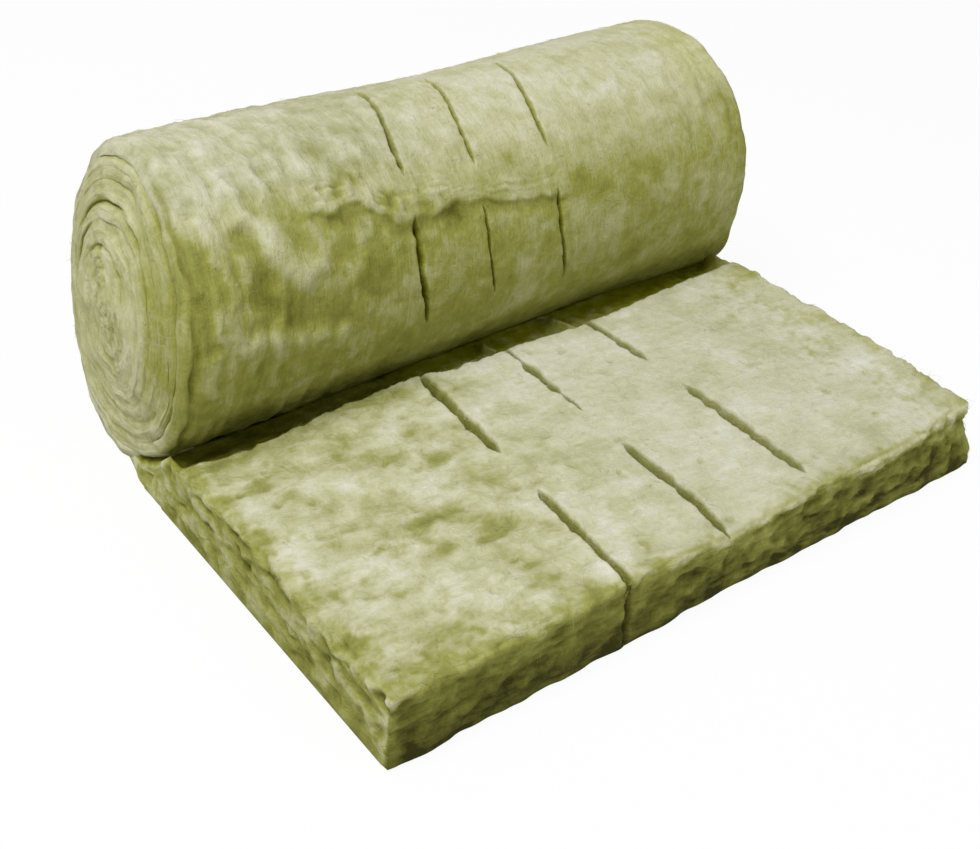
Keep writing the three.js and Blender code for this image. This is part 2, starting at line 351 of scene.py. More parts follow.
# A cut: its line, where it starts and ends, its width in the middle, and how deep it is at both ends.
# In the laid mat the places are millimetres from the front edge.
LAID_CUTS = (
    (-1, -60, 217, 18, 1.0, 0.8),
    (-1, 309, 546, 21, 1.15, 0.7),
    (0, -4, 236, 20, 1.0, 0.7),
    (0, 322, 386, 9, 0.6, 0.5),
    (0, 374, 490, 18, 0.9, 1.0),
    (0, 482, 552, 10, 0.8, 0.8),
    (1, 33, 297, 23, 0.8, 0.7),
    (1, 372, 552, 19, 0.75, 0.95),
)
# Round the roll they are degrees, from the back over the top to the front.
ROLL_CUTS = (
    (-1, 75, 131.5, 14, 0.5, 1.0),
    (-1, 146, 192, 16, 0.9, 1.0),
    (0, 77, 134.5, 11, 0.5, 1.0),
    (0, 149, 188, 8, 0.8, 0.8),
    (1, 79, 135.5, 11, 0.5, 1.0),
    (1, 151, 193, 9, 0.9, 0.7),
    (-1, 4, 59, 12, 1.0, 1.0),
    (0, 4, 59, 11, 1.0, 1.0),
    (1, 4, 59, 11, 1.0, 1.0),
    (-1, -68, -13, 12, 1.0, 1.0),
    (0, -68, -13, 11, 1.0, 1.0),
    (1, -68, -13, 11, 1.0, 1.0),
)
# How the middle cut line drifts along the roll on its way round: degrees, then millimetres.
ROLL_DRIFT = ((75, 6), (94, -6), (107, -22), (120, -33), (134, -37), (150, -41), (170, -36), (190, -17))


def cut_profile(cuts, line, along, unit, jitter):
    """Half width and depth share of a line's cuts at places along it; unit is one step of the cuts' ends."""
    half = np.full(len(along), LEAST_HALF)
    depth = np.zeros(len(along))
    nearest = np.full(len(along), -1.0)
    for cut_line, start, end, width, deep_start, deep_end in cuts:
        if cut_line != line:
            continue
        inside = np.minimum(along - start * unit, end * unit - along)
        nearest = np.maximum(nearest, inside)
        share = smooth(0, CUT_TAPER, inside)
        gape = np.sqrt(np.clip(inside / CUT_TAPER, 0, 1)) * (0.75 + 0.25 * share) * (1 + 0.35 * jitter)
        half = np.maximum(half, 0.5 * width * MM * gape)
        deepness = np.interp(along, (start * unit, end * unit), (deep_start, deep_end)) * (1 + 0.2 * jitter)
        depth = np.maximum(depth, np.clip(deepness, 0, 1) * smooth(0, 0.8 * CUT_TAPER, inside))
    return half + SPARE_HALF * smooth(-3 * MM, -32 * MM, nearest), depth


def lay_cut_lines(table, along, unit, places, crossing, sizes, seed):
    """
    Middle, half width and depth share of each cut line at places along it.
    crossing gives a line's even middle; sizes are its jitter's and its sway's scale, and how far it sways.
    """
    centres, halves, depths = [], [], []
    jitter_size, sway_size, sway_reach = sizes
    for line in LINES:
        jitter = fractal(places, jitter_size, seed + 40 + line)
        half, depth = cut_profile(table, line, along, unit, jitter)
        sway = sway_reach * fractal(places, sway_size, seed + 50 + line)
        centres.append(crossing(line) + sway)
        halves.append(half)
        depths.append(depth)
    return centres, halves, depths


def cut_shares(column, bundles, depths, deep, softness):
    """How deep each point lies in a cut, and how much painted shade darkens it there."""
    cut, slit_shade = np.zeros(len(column)), np.zeros(len(column))
    for first, depth in zip(bundles, depths):
        inside = (column > first - 0.5) & (column < first + len(BUNDLE) - 0.5)
        cut = np.where(inside, depth * deep, cut)
        slit_shade = np.where(inside, depth * deep**softness, slit_shade)
    return cut, slit_shade


def place_columns(share, bundles, total, ends, centres, halves):
    """
    Spreads mesh columns between two ends, with a bundle at each cut line.
    share is each point's column as a share of the whole; returns its place and how deep in a cut it lies.
    """
    anchors = [np.zeros(len(share))]
    places = [ends[0]]
    deepness = [0.0]
    for first, centre, half in zip(bundles, centres, halves):
        for i, (offset, depth) in enumerate(zip(BUNDLE, BUNDLE_DEPTH)):
            anchors.append(np.full(len(share), (first + i) / total))
            places.append(centre + offset * half)
            deepness.append(depth)
    anchors.append(np.ones(len(share)))
    places.append(ends[1])
    deepness.append(0.0)
    steps = np.array([a[0] for a in anchors])
    index = np.clip(np.searchsorted(steps, share + 1e-9, side="right") - 1, 0, len(steps) - 2)
    part = (share - steps[index]) / (steps[index + 1] - steps[index])
    table = np.array(places)
    rows = np.arange(len(share))
    place = table[index, rows] * (1 - part) + table[index + 1, rows] * part
    deep = np.array(deepness)
    return place, np.clip(deep[index] * (1 - part) + deep[index + 1] * part, 0, 1)


# Mesh helpers


def deselect():
    """Leaves nothing selected, so that an operator acts only on what is added next."""
    bpy.ops.object.select_all(action="DESELECT")


def read_points(piece):
    """The mesh's points as an array."""
    flat = np.empty(len(piece.data.vertices) * 3)
    piece.data.vertices.foreach_get("co", flat)
    return flat.reshape(-1, 3)


def write_points(piece, points):
    """Moves the mesh's points."""
    piece.data.vertices.foreach_set("co", np.ascontiguousarray(points, dtype=np.float64).ravel())
    piece.data.update()


def store(piece, name, values):
    """Keeps a number or a vector for each point, for the material."""
    values = np.asarray(values, dtype=np.float32)
    kind = "FLOAT" if values.ndim == 1 else "FLOAT_VECTOR"
    field = "value" if values.ndim == 1 else "vector"
    layer = piece.data.attributes.new(name, kind, "POINT")
    layer.data.foreach_set(field, values.ravel())


def split_edges(axis, parts):
    """In edit mode, splits every edge that runs along one axis into parts, in two steps."""
    mesh = bmesh.from_edit_mesh(bpy.context.object.data)
    for count in parts:
        for edge in mesh.edges:
            run = edge.verts[1].co - edge.verts[0].co
            edge.select = abs(run[axis]) > 0.999 * run.length
        bmesh.update_edit_mesh(bpy.context.object.data)
        bpy.ops.mesh.subdivide(number_cuts=count - 1)
        mesh = bmesh.from_edit_mesh(bpy.context.object.data)


def add_block(name, columns, rows, layers):
    """A unit block with a grid of quads on its top and sides; its bottom and back are one face each."""
    deselect()
    bpy.ops.mesh.primitive_cube_add(size=1)
    piece = bpy.context.object
    piece.name = name
    bpy.ops.object.mode_set(mode="EDIT")
    bpy.ops.mesh.select_mode(type="EDGE")
    split_edges(0, columns)
    split_edges(1, rows)
    split_edges(2, layers)
    bpy.ops.mesh.select_mode(type="FACE")
    for axis, side in ((2, -1), (1, 1)):
        mesh = bmesh.from_edit_mesh(piece.data)
        for face in mesh.faces:
            face.select_set(face.normal[axis] * side > 0.9)
        bmesh.update_edit_mesh(piece.data)
        bpy.ops.mesh.dissolve_faces()
    bpy.ops.object.mode_set(mode="OBJECT")
    return piece


def add_drum(name, sides, columns):
    """A unit drum along X with a grid of quads round it and one face on each end."""
    deselect()
    bpy.ops.mesh.primitive_cylinder_add(
        vertices=sides, radius=0.5, depth=1, end_fill_type="NGON", rotation=(0, math.pi / 2, 0)
    )
    piece = bpy.context.object
    piece.name = name
    bpy.ops.object.transform_apply(location=True, rotation=True, scale=True)
    bpy.ops.object.mode_set(mode="EDIT")
    bpy.ops.mesh.select_mode(type="EDGE")
    split_edges(0, columns)
    bpy.ops.object.mode_set(mode="OBJECT")
    return piece


def edit_all(piece):
    """Opens one piece in edit mode, with all of it selected."""
    deselect()
    piece.select_set(True)
    bpy.context.view_layer.objects.active = piece
    bpy.ops.object.mode_set(mode="EDIT")
    bpy.ops.mesh.select_all(action="SELECT")


def finish_piece(piece):
    """Turns a piece's faces outward, and gives it its shading, its finish and its place in the frame."""
    edit_all(piece)
    bpy.ops.mesh.normals_make_consistent(inside=False)
    bpy.ops.object.mode_set(mode="OBJECT")
    bpy.ops.object.shade_smooth()
    piece.data.materials.clear()
    piece.data.materials.append(glass_wool())
    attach(piece, "root")
    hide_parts(CAD_NODE)


# Material


def add_node(tree, kind, inputs=None, **settings):
    """Adds a node, with its settings, and its sockets set or linked."""
    made = tree.nodes.new(kind)
    for name, value in settings.items():
        setattr(made, name, value)
    for name, value in (inputs or {}).items():
        if isinstance(value, bpy.types.NodeSocket):
            tree.links.new(value, made.inputs[name])
        else:
            made.inputs[name].default_value = value
    return made


def per_metre(millimetres):
    """Scale of a noise whose features are about that large."""
    return 1 / (millimetres * MM)


# Streaks of fibres along the wool, as features to a metre: along the streak, then twice across it. Single
# fibres are too fine to show, so these are drawn as coarse as they need to be.
FIBRE_STREAK = (per_metre(38), per_metre(3.4), per_metre(3.4))
FIBRE_FINE = (per_metre(14), per_metre(1.9), per_metre(1.9))
WARP_REACH = 50 * MM  # how far the patches' places are moved about


def glass_wool():
    """
    Glass mineral wool, spun and held together with a binder, and not faced.
    Its fibres scatter light like felt, so it has no gloss; loose fibres are pale, and dense ones green. Where
    shade is painted, the binder attribute makes it a deeper green too.
    """
    material = bpy.data.materials.get("glass_wool")
    if material:
        return material
    colours = bpy.context.scene.wool_colours
    material = bpy.data.materials.new("glass_wool")
    material.use_nodes = True
    tree = material.node_tree
    tree.nodes.clear()
    place = add_node(tree, "ShaderNodeTexCoord").outputs["Object"]
    tone = add_node(tree, "ShaderNodeAttribute", attribute_name="tone").outputs["Fac"]
    grain = add_node(tree, "ShaderNodeAttribute", attribute_name="grain").outputs["Vector"]
    mottle = add_node(tree, "ShaderNodeAttribute", attribute_name="mottle").outputs["Fac"]

    warp = add_node(
        tree, "ShaderNodeTexNoise", {"Vector": place, "Scale": per_metre(55), "Detail": 2.0, "Roughness": 0.5}
    )
    shift = add_node(
        tree,
        "ShaderNodeVectorMath",
        {0: warp.outputs["Color"], 1: (0.5, 0.5, 0.5)},
        operation="SUBTRACT",
    )
    warped = add_node(
        tree,
        "ShaderNodeVectorMath",
        {0: shift.outputs["Vector"], 1: (WARP_REACH,) * 3, 2: place},
        operation="MULTIPLY_ADD",
    ).outputs["Vector"]
    drawn, spun = (
        add_node(tree, "ShaderNodeVectorMath", {0: grain, 1: scale}, operation="MULTIPLY").outputs["Vector"]
        for scale in (FIBRE_STREAK, FIBRE_FINE)
    )
    patches, flecks, fluff, streaks, fibres = (
        add_node(
            tree,
            "ShaderNodeTexNoise",
            {"Vector": vector, "Scale": scale, "Detail": detail, "Roughness": roughness},
        ).outputs["Fac"]
        for vector, scale, detail, roughness in (
            (warped, per_metre(34), 3.0, 0.55),
            (warped, per_metre(7), 3.0, 0.6),
            (warped, per_metre(4.5), 4.0, 0.65),
            (drawn, 1.0, 3.0, 0.6),
            (spun, 1.0, 3.0, 0.65),
        )
    )

    level = tone
    for source, spread, weight, uneven in (
        (patches, 0.18, 0.065, 0.7),
        (flecks, 0.20, 0.035, 0.4),
        (streaks, 0.22, 0.035, 0.2),
    ):
        part = add_node(
            tree,
            "ShaderNodeMapRange",
            {
                "Value": source,
                "From Min": 0.5 - spread,
                "From Max": 0.5 + spread,
                "To Min": -weight,
                "To Max": weight,
            },
            interpolation_type="SMOOTHSTEP",
        ).outputs[0]
        strength = add_node(
            tree, "ShaderNodeMath", {0: mottle, 1: uneven, 2: 1 - uneven}, operation="MULTIPLY_ADD"
        ).outputs[0]
        level = add_node(
            tree, "ShaderNodeMath", {0: part, 1: strength, 2: level}, operation="MULTIPLY_ADD"
        ).outputs[0]
    ramp = add_node(tree, "ShaderNodeValToRGB", {"Fac": level})
    stops = (
        (0.0, colours.cavity_and_shade),
        (0.25, colours.cut_edge),
        (0.50, colours.body),
        (0.75, colours.face),
        (1.0, colours.tuft),
    )
    ramp.color_ramp.elements.remove(ramp.color_ramp.elements[1])
    for position, value in stops:
        if position == 0:
            stop = ramp.color_ramp.elements[0]
        else:
            stop = ramp.color_ramp.elements.new(position)
        stop.color = (*value, 1)

    height = add_node(
        tree, "ShaderNodeMath", {0: fibres, 1: 0.8, 2: fluff}, operation="MULTIPLY_ADD"
    ).outputs[0]
    relief = add_node(tree, "ShaderNodeBump", {"Height": height, "Strength": 0.8, "Distance": 2.6 * MM})
    # binder sets the saturation: the wool's own green, and the deeper green of painted shade.
    binder = add_node(tree, "ShaderNodeAttribute", attribute_name="binder").outputs["Fac"]
    greener = add_node(
        tree, "ShaderNodeHueSaturation", {"Color": ramp.outputs["Color"], "Saturation": binder}
    )
    shader = add_node(
        tree,
        "ShaderNodeBsdfPrincipled",
        {
            "Base Color": greener.outputs["Color"],
            "Roughness": 0.95,
            "Specular IOR Level": 0.12,
            "Normal": relief.outputs["Normal"],
        },
    )
    add_node(tree, "ShaderNodeOutputMaterial", {"Surface": shader.outputs["BSDF"]})
    return material


# The laid mat

LAID_COLUMNS = (17, 20)  # split in two steps
LAID_ROWS = (11, 20)
LAID_LAYERS = (3, 10)
LAID_FINE_SHARE = 0.93  # share of the rows that lie in front of the roll
LAID_BUNDLES = (112, 170, 227)  # first column of each bundle
CORNER_PULL = (-12 * MM, 18 * MM)  # how the far front corner has been pressed in
CORNER_REACH = 190 * MM
LIP = 15 * MM  # length of the ramp into the painted shade where the mat starts to dip
SLUMP = 13 * MM  # how much lower the front edge has sunk near its middle
TAIL_TUCK = 14 * MM  # how much narrower the tail is, out of sight under the roll
RECESS_SIZE = np.array([110, 48, 70]) * MM  # the worn recesses of the face, which run along the roll
# How far the dip's lip lies in front of its usual place: metres along the roll, then millimetres.
LIP_BOW = (
    (-0.57, 4),
    (-0.53, 10),
    (-0.48, 17),
    (-0.42, 12),
    (-0.35, 2),
    (-0.20, -2),
    (-0.15, 10),
    (-0.06, 14),
    (0.05, 18),
    (0.12, 22),
    (0.24, 24),
    (0.38, 17),
    (0.48, 13),
    (0.57, 12),
)
FILL_GAP = 7 * MM  # what stays open between the roll and the wool that fills the dip
TONGUES = (10 * MM, 184 * MM)  # where a tongue of wool bridges the dip
TONGUE_REACH = 9 * MM
EDGE_SHARE = ((-0.35, 1.0), (-0.15, 0.55), (0.45, 0.55), (0.57, 1.0))  # along the roll: the edges' rounding
OUT_OF_REACH = 9.0  # metres: the mat's back edge isn't rounded, so its limit lies past everything


# Patches where the loose face has come off, and pale ones where it stands up: millimetres along the roll and
# from the front edge, half width, and how much darker.
MAT_PATCHES = (
    (-475, 390, 13, 0.12),
    (-458, 365, 15, 0.14),
    (-440, 340, 13, 0.14),
    (-475, 270, 17, 0.13),
    (-375, 215, 15, 0.12),
    (-360, 185, 14, 0.13),
    (-425, 210, 22, 0.07),
    (-345, 240, 16, 0.12),
    (-318, 236, 17, 0.12),
    (-277, 208, 16, 0.10),
    (-248, 202, 16, 0.10),
    (-225, 255, 24, 0.11),
    (-200, 240, 16, 0.08),
    (-262, 354, 20, 0.12),
    (-343, 365, 15, 0.08),
    (-372, 432, 12, 0.12),
    (-340, 412, 12, 0.12),
    (-225, 415, 26, 0.08),
    (-350, 475, 26, 0.08),
    (-542, 430, 16, 0.09),
    (-525, 170, 12, 0.08),
    (-497, 162, 12, 0.10),
    (-480, 190, 12, 0.09),
    (-275, 55, 13, 0.13),
    (-357, 22, 10, 0.12),
    (-337, 25, 10, 0.12),
    (-430, 90, 7, 0.10),
    (-413, 76, 7, 0.11),
    (-412, 58, 7, 0.12),
    (-424, 38, 8, 0.13),
    (-440, 26, 8, 0.13),
    (-32, 172, 12, 0.10),
    (-450, 435, 45, -0.06),
    (-300, 300, 38, -0.05),
    (-560, 150, 26, 0.08),
    (-540, 210, 24, 0.06),
    (-552, 311, 24, 0.07),
    (-503, 274, 20, 0.08),
    (465, 243, 40, 0.08),
    (214, 135, 30, 0.05),
    (70, 230, 95, -0.045),
    (-51, 185, 42, -0.05),
    (-499, 274, 28, 0.05),
    (60, 60, 45, -0.03),
    (290, 360, 120, -0.035),
    (-430, 146, 48, -0.05),
    (-366, 79, 18, -0.05),
)


# Gaps between the torn layers of the start side, sunk and darkened with painted shade, in millimetres: from
# the front edge, height, half length and half height.
SIDE_GAPS = (
    (368, 97, 30, 7),
    (285, 93, 22, 6),
    (243, 90, 12, 5),
    (130, 84, 20, 6),
    (470, 90, 22, 6),
)


def patch_tone(along, across, places, unit=MM):
    """How much a table's patches take off a face's tone; unit is one step of the patches' second number."""
    total = np.zeros(len(along))
    for middle, back, half_width, strength in places:
        gap = np.hypot(along - middle * MM, across - back * unit)
        total += 1.25 * strength * bump(0, 1.6 * half_width * MM, gap)
    return total


def laid_line(form, cuts, line, y):
    """Where a cut line crosses the laid mat."""
    share = (y - form.front_y) / (form.nip_y - form.front_y)
    front = -11 * MM + line * cuts.spacing_front
    crease = 16 * MM + line * cuts.spacing_crease
    bow = 12 * MM * (line > 0) * np.sin(np.pi * np.clip(share, 0, 1))
    return front + (crease - front) * share + bow


def press_round(points, low, high, spans, lowest_span):
    """Presses points on to the rounded skin of a block; returns them and the directions they face."""
    core = np.clip(points, low, high)
    offset = points - core
    span = np.where(offset < 0, lowest_span, spans)
    scaled = offset / span
    size = np.linalg.norm(scaled, axis=1, keepdims=True)
    size = np.where(size > 1e-6, size, 1)
    facing = scaled / size / span
    facing /= np.maximum(np.linalg.norm(facing, axis=1, keepdims=True), 1e-9)
    return core + scaled / size * span, facing


def make_laid_mat():
    """The flat part of the mat, from its free front edge to its tail under the roll."""
    scene = bpy.context.scene
    sizes, cuts, relief = scene.mat_sizes, scene.cut_sizes, scene.relief_sizes
    form = Form(sizes)
    seed = relief.seed
    piece = add_block("laid_mat", LAID_COLUMNS, LAID_ROWS, LAID_LAYERS)
    across, back, up = (read_points(piece) + 0.5).T
    columns = math.prod(LAID_COLUMNS)

    fine = np.clip(back / LAID_FINE_SHARE, 0, 1)
    coarse = np.clip((back - LAID_FINE_SHARE) / (1 - LAID_FINE_SHARE), 0, 1)
    y = form.front_y + fine * (form.nip_y - form.front_y) + coarse * (form.tail_y - form.nip_y)
    even_x = (across - 0.5) * 2 * form.half_width
    lip_path = np.stack([even_x + form.half_width, np.zeros_like(y), np.zeros_like(y)], axis=1)
    ragged = fractal(lip_path, 42 * MM, seed + 30, 3, 0.6)
    lip_shift = 5 * MM * ragged + read_off(LIP_BOW, even_x) * MM
    top = form.top_height(y + lip_shift * smooth(form.nip_y, form.nip_y - 50 * MM, y))
    filled = smooth(-0.546, -0.566, even_x + 6 * MM * ragged)
    filled = np.maximum(filled, smooth(0.542, 0.562, even_x + 6 * MM * ragged))
    for place in TONGUES:
        filled = np.maximum(filled, 0.55 * bump(place, TONGUE_REACH, even_x))
    filled = filled * (y < form.nip_y)
    filling = np.minimum(sizes.thickness, form.roll_underside(y)) - FILL_GAP
    top += filled * np.clip(filling - top, 0, None)
    from_front = y - form.front_y
    slumped = bump(0.04, 0.15, even_x)
    top -= SLUMP * slumped * smooth(75 * MM, 0, from_front)
    z = up * top

    wander = np.stack([y, z, np.zeros_like(y)], axis=1)
    centres, halves, depths = lay_cut_lines(
        LAID_CUTS, from_front, MM, wander, lambda line: laid_line(form, cuts, line, y), LAID_CUT_NOISE, seed
    )
    sides = (np.full(len(y), -form.half_width), np.full(len(y), form.half_width))
    x, deep = place_columns(across, LAID_BUNDLES, columns, sides, centres, halves)
    cut, slit_shade = cut_shares(across * columns, LAID_BUNDLES, depths, deep, 0.35)

    # Round the edges.
    start = np.stack([x, y, z], axis=1)
    raggedness = 1 + 0.45 * fractal(start, 70 * MM, seed + 5)
    to_corner = np.hypot(form.half_width - np.abs(x), from_front)
    radius = sizes.edge_round * np.clip(raggedness, 0.5, 1.7)
    radius = radius * (0.4 + 0.6 * smooth(8 * MM, 60 * MM, to_corner))
    radius = radius * read_off(EDGE_SHARE, even_x)
    least = np.full(len(z), sizes.foot_round)
    no_back = np.full(len(z), OUT_OF_REACH)
    low = np.stack([-form.half_width + radius, form.front_y + radius, np.minimum(least, 0.4 * top)], axis=1)
    high = np.stack([form.half_width - radius, no_back, np.maximum(top - radius, 0.5 * top)], axis=1)
    spans = np.stack([radius, radius, np.minimum(radius, 0.5 * top)], axis=1)
    points, facing = press_round(start, low, high, spans, np.stack([radius, radius, least], axis=1))
    is_top = smooth(0.35, 0.85, facing[:, 2])
    is_side = 1 - is_top
    is_under = facing[:, 2] < -0.2
    clear = smooth(form.nip_y + 90 * MM, form.nip_y + 30 * MM, y)
    in_front = facing[:, 1] < -0.5

    # Loose plates, tufts and pits on the face; torn layers on the edges.
    mottle = 0.30 + 0.70 * smooth(0.02, -0.26, points[:, 0])
    loose = shaken(points, 9 * MM, 30 * MM, seed + 60)
    plate = plates(loose, relief.plate_size * np.array([1.9, 1.1, 1.2]), seed, 0.28)
    chip = plates(loose, relief.plate_size * 0.36, seed + 4, 0.5)
    tuft = fractal(points, relief.tuft_size, seed + 8, 2)
    pits = smooth(0.55, 0.85, soft_noise(loose, 27 * MM, seed + 21))
    recess = smooth(0.0, 0.7, fractal(loose, RECESS_SIZE, seed + 23, 3, 0.5))
    pale = smooth(0.05, 0.45, soft_noise(loose, RECESS_SIZE * 1.3, seed + 27))
    broad = fractal(points, 260 * MM, seed + 31, 3, 0.6)
    face = relief.plate_height * (0.45 * plate + 0.10 * chip + 0.2 * pale - 0.4 * recess) * mottle
    face += relief.tuft_height * tuft * (0.7 + 0.3 * mottle) - 2.5 * MM * pits
    at_edge = smooth(0.10, 0.45, facing[:, 2]) * smooth(0.99, 0.80, facing[:, 2])
    at_edge *= smooth(10 * MM, 60 * MM, to_corner)
    frill = plates(points, 22 * MM, seed + 25, 0.5)
    flat_run = np.array([relief.flake_length, relief.flake_length, relief.flake_size])
    flake = plates(loose, flat_run, seed + 12, 0.5)
    clump = plates(loose, np.array([40, 40, 30]) * MM, seed + 33, 0.4)
    shred = 1 - 2 * np.abs(soft_noise(loose, flat_run * np.array([0.45, 0.45, 0.5]), seed + 14))
    hole = smooth(0.35, 0.8, soft_noise(loose, np.array([50, 50, 24]) * MM, seed + 17)) * smooth(0.3, 0.6, up)
    for middle, height, reach, tall in SIDE_GAPS:
        spot = np.hypot((from_front - middle * MM) / reach, (loose[:, 2] - height * MM) / tall)
        hole = np.maximum(hole, 1.3 * (even_x < 0) * bump(0, 1.6 * MM, spot))
    hole *= 1 - 0.55 * in_front
    torn = relief.flake_height * (0.4 * flake + 0.4 * shred + 0.4 * clump) + 1.6 * MM * tuft - 6 * MM * hole
    torn *= smooth(0.02, 0.30, up)
    away = np.where(is_under, 0, face * is_top + torn * is_side + 3.2 * MM * frill * at_edge)
    points += facing * (away * clear)[:, None]
    flare = np.where(is_under, 0, sizes.foot_flare * smooth(0.75, 0.0, up)) * clear
    flare *= 1 - 0.6 * slumped * in_front
    points[:, 1] -= flare * in_front * (1 + 0.4 * fractal(lip_path, 50 * MM, seed + 37, 2))
    points[:, 0] -= 0.6 * flare * (facing[:, 0] < -0.5)

    # Sink the cuts; a skin of wool bridges them at the mat's front corner.
    skin = smooth(0.15, 0.5, facing[:, 2]) * smooth(0.995, 0.85, facing[:, 2]) * (from_front < 60 * MM)
    cut = cut * (1 - 0.6 * skin)
    slit_shade = slit_shade * (1 - 0.6 * skin)
    sunk = sizes.thickness - cuts.laid_depth * (0.92 + 0.08 * tuft)
    on_top = facing[:, 2] > 0.3
    points[:, 2] = np.where(on_top, points[:, 2] + cut * (sunk - points[:, 2]), points[:, 2])
    notch = cut * smooth(0.0, 0.12, up)
    mouth = 5 * MM + 15 * MM * smooth(0.9, 0.5, np.abs(up - 0.48) * 2)
    points[:, 1] += np.where(in_front, mouth * notch, 0)

    # Bring the sides in line with the roll's ends where the mat goes under it, and widen it towards there.
    wheel_radius, wheel_angle = form.wheel_place(y, points[:, 2])
    under_share = smooth(form.nip_y - 50 * MM, form.nip_y + 30 * MM, y)
    tuck = TAIL_TUCK * smooth(form.nip_y + 40 * MM, form.tail_y, y)
    start_inset = form.end_inset(START, wheel_radius, wheel_angle) * under_share + tuck
    sideways = points[:, 0] / form.half_width
    widened = sizes.far_spread * np.clip(from_front / (form.nip_y - form.front_y), 0, 1) ** 0.6
    points[:, 0] += np.where(sideways < 0, -sideways * start_inset, sideways * widened)
    points[:, 0] += form.lean(points[:, 0], points[:, 2]) * under_share

    # Press the far front corner in, and turn the roll out of square.
    far_corner = np.hypot(points[:, 0] - form.half_width, points[:, 1] - form.front_y)
    pull = (1 - smooth(0, CORNER_REACH, far_corner)) * smooth(0.0, 0.8, up)
    points[:, 0] += CORNER_PULL[0] * pull
    points[:, 1] += CORNER_PULL[1] * pull
    points[:, 1] += form.skew(points[:, 0], points[:, 1])
    points[:, 2] = np.maximum(points[:, 2], 0)
    write_points(piece, points)

    # Painted shade on the top: dark past the dip's lip under the roll's overhang, in the corner where the
    # crease meets the start end, and a little in a band in front of the lip.
    lip_start = form.nip_y - sizes.crease_reach - lip_shift
    past_lip = smooth(lip_start, lip_start + LIP, y)
    painted_crease_shade = past_lip * (1 - 0.35 * filled)
    painted_corner_shade = past_lip * bump(-0.556, 16 * MM, even_x)
    painted_near_crease_shade = smooth(lip_start - 110 * MM, lip_start - 15 * MM, y) * (
        0.3 * smooth(0.1, -0.1, x) + 0.8 * smooth(-0.10, -0.22, x) - 0.7 * smooth(-0.42, -0.48, x)
    )
    frayed = 1 + 0.55 * frill + 0.3 * tuft
    blotch = smooth(-0.1, 0.4, soft_noise(points, 60 * MM, seed + 29))
    worn = smooth(34 * MM, 5 * MM, (points[:, 0] + form.half_width) * frayed)
    worn_reach = np.interp(even_x, (-0.35, -0.15), (36 * MM, 16 * MM))
    worn = np.maximum(worn, smooth(worn_reach, 4 * MM, from_front * frayed))
    far_edge = (form.half_width - points[:, 0]) * frayed
    worn = np.maximum(worn, smooth(110 * MM, 12 * MM, far_edge) * (0.75 + 0.75 * blotch))
    # The face's tone: pale on its plates, darker in its recesses and pits, partly for the greener wool under
    # the loose face and partly as painted shade.
    face_tone = 0.795 + mottle * (0.07 * plate + 0.02 * chip + 0.04 * pale - 0.15 * recess) + 0.11 * broad
    face_tone += 0.03 * fractal(loose, np.array([130, 90, 100]) * MM, seed + 35, 3, 0.6)
    face_tone -= patch_tone(loose[:, 0], loose[:, 1] - form.front_y, MAT_PATCHES) + 0.13 * painted_near_crease_shade
    face_tone += 0.018 * tuft - 0.12 * pits - 0.08 * mottle - 0.14 * worn
    # The cut faces: partly the denser green of a cut edge and partly painted shade, darker than the top and
    # darker towards the floor. Their torn layers are paler where they stand out, with painted shade in the
    # gaps between them.
    front_shaded_tone = np.interp(up, (0.0, 0.45, 0.85, 1.0), (0.02, 0.15, 0.32, 0.52))
    front_shaded_tone += 0.10 * smooth(0.72, 0.95, up) * smooth(-0.25, -0.08, even_x)
    front_shaded_tone -= 0.08 * smooth(-0.1, -0.5, points[:, 0]) * (1 - up)
    livelier = 0.8 + 0.8 * smooth(-0.3, 0.2, even_x)
    front_shaded_tone += (0.07 * flake + 0.07 * shred + 0.08 * clump) * livelier - 0.2 * hole
    side_shaded_tone = 0.40 + 0.16 * up + 0.06 * flake + 0.05 * shred + 0.12 * clump - 0.32 * hole
    side_shaded_tone += 0.12 * under_share
    deeper = smooth(form.nip_y - 62 * MM, form.nip_y - 25 * MM, y)
    in_shade = 0.24 + 0.06 * smooth(-0.25, -0.1, x) + 0.15 * deeper - 0.12 * tuft
    tone = is_top * face_tone * (1 - in_shade * painted_crease_shade - 0.35 * painted_corner_shade)
    tone += is_side * np.where(in_front, front_shaded_tone, side_shaded_tone)
    tone += 0.18 * smooth(22 * MM, 3 * MM, to_corner) * is_side
    # Painted shade in the slits, less on the cut faces than on the top.
    tone *= 1 - 0.86 * slit_shade * (1 - 0.6 * is_side)
    store(piece, "tone", tone)
    store(piece, "mottle", is_top * mottle + is_side * 0.7)
    # The painted shade in the crease is greener as well.
    crease_shade_green = 0.15 + 0.12 * smooth(-0.25, -0.1, x)
    loose_face = (0.11 + 0.10 * smooth(-0.25, 0.05, points[:, 0])) * (1 - painted_crease_shade) * (1 - 0.7 * worn)
    store(piece, "binder", 0.98 + is_top * (crease_shade_green * painted_crease_shade - loose_face + 0.28 * slit_shade))
    store(piece, "grain", np.stack([points[:, 0] + points[:, 1], points[:, 2], points[:, 1] * 0.3], axis=1))
    finish_piece(piece)


# The wound roll

DRUM_SIDES = 300
DRUM_COLUMNS = (17, 18)
DRUM_FINE_SIDES = 0.66  # share of the sides that show from the front
DRUM_FINE_TURN = 0.47  # and the share of a turn that they cover
RIM_STEPS = 11  # columns that go round a rim and into the first groove
FACE_STEPS = 5  # of them, those on the end's face
DRUM_BUNDLES = (106, 150, 193)
WHEEL_SIZE = 0.23  # radius, in metres, of the ring that the outer turn's noise runs on
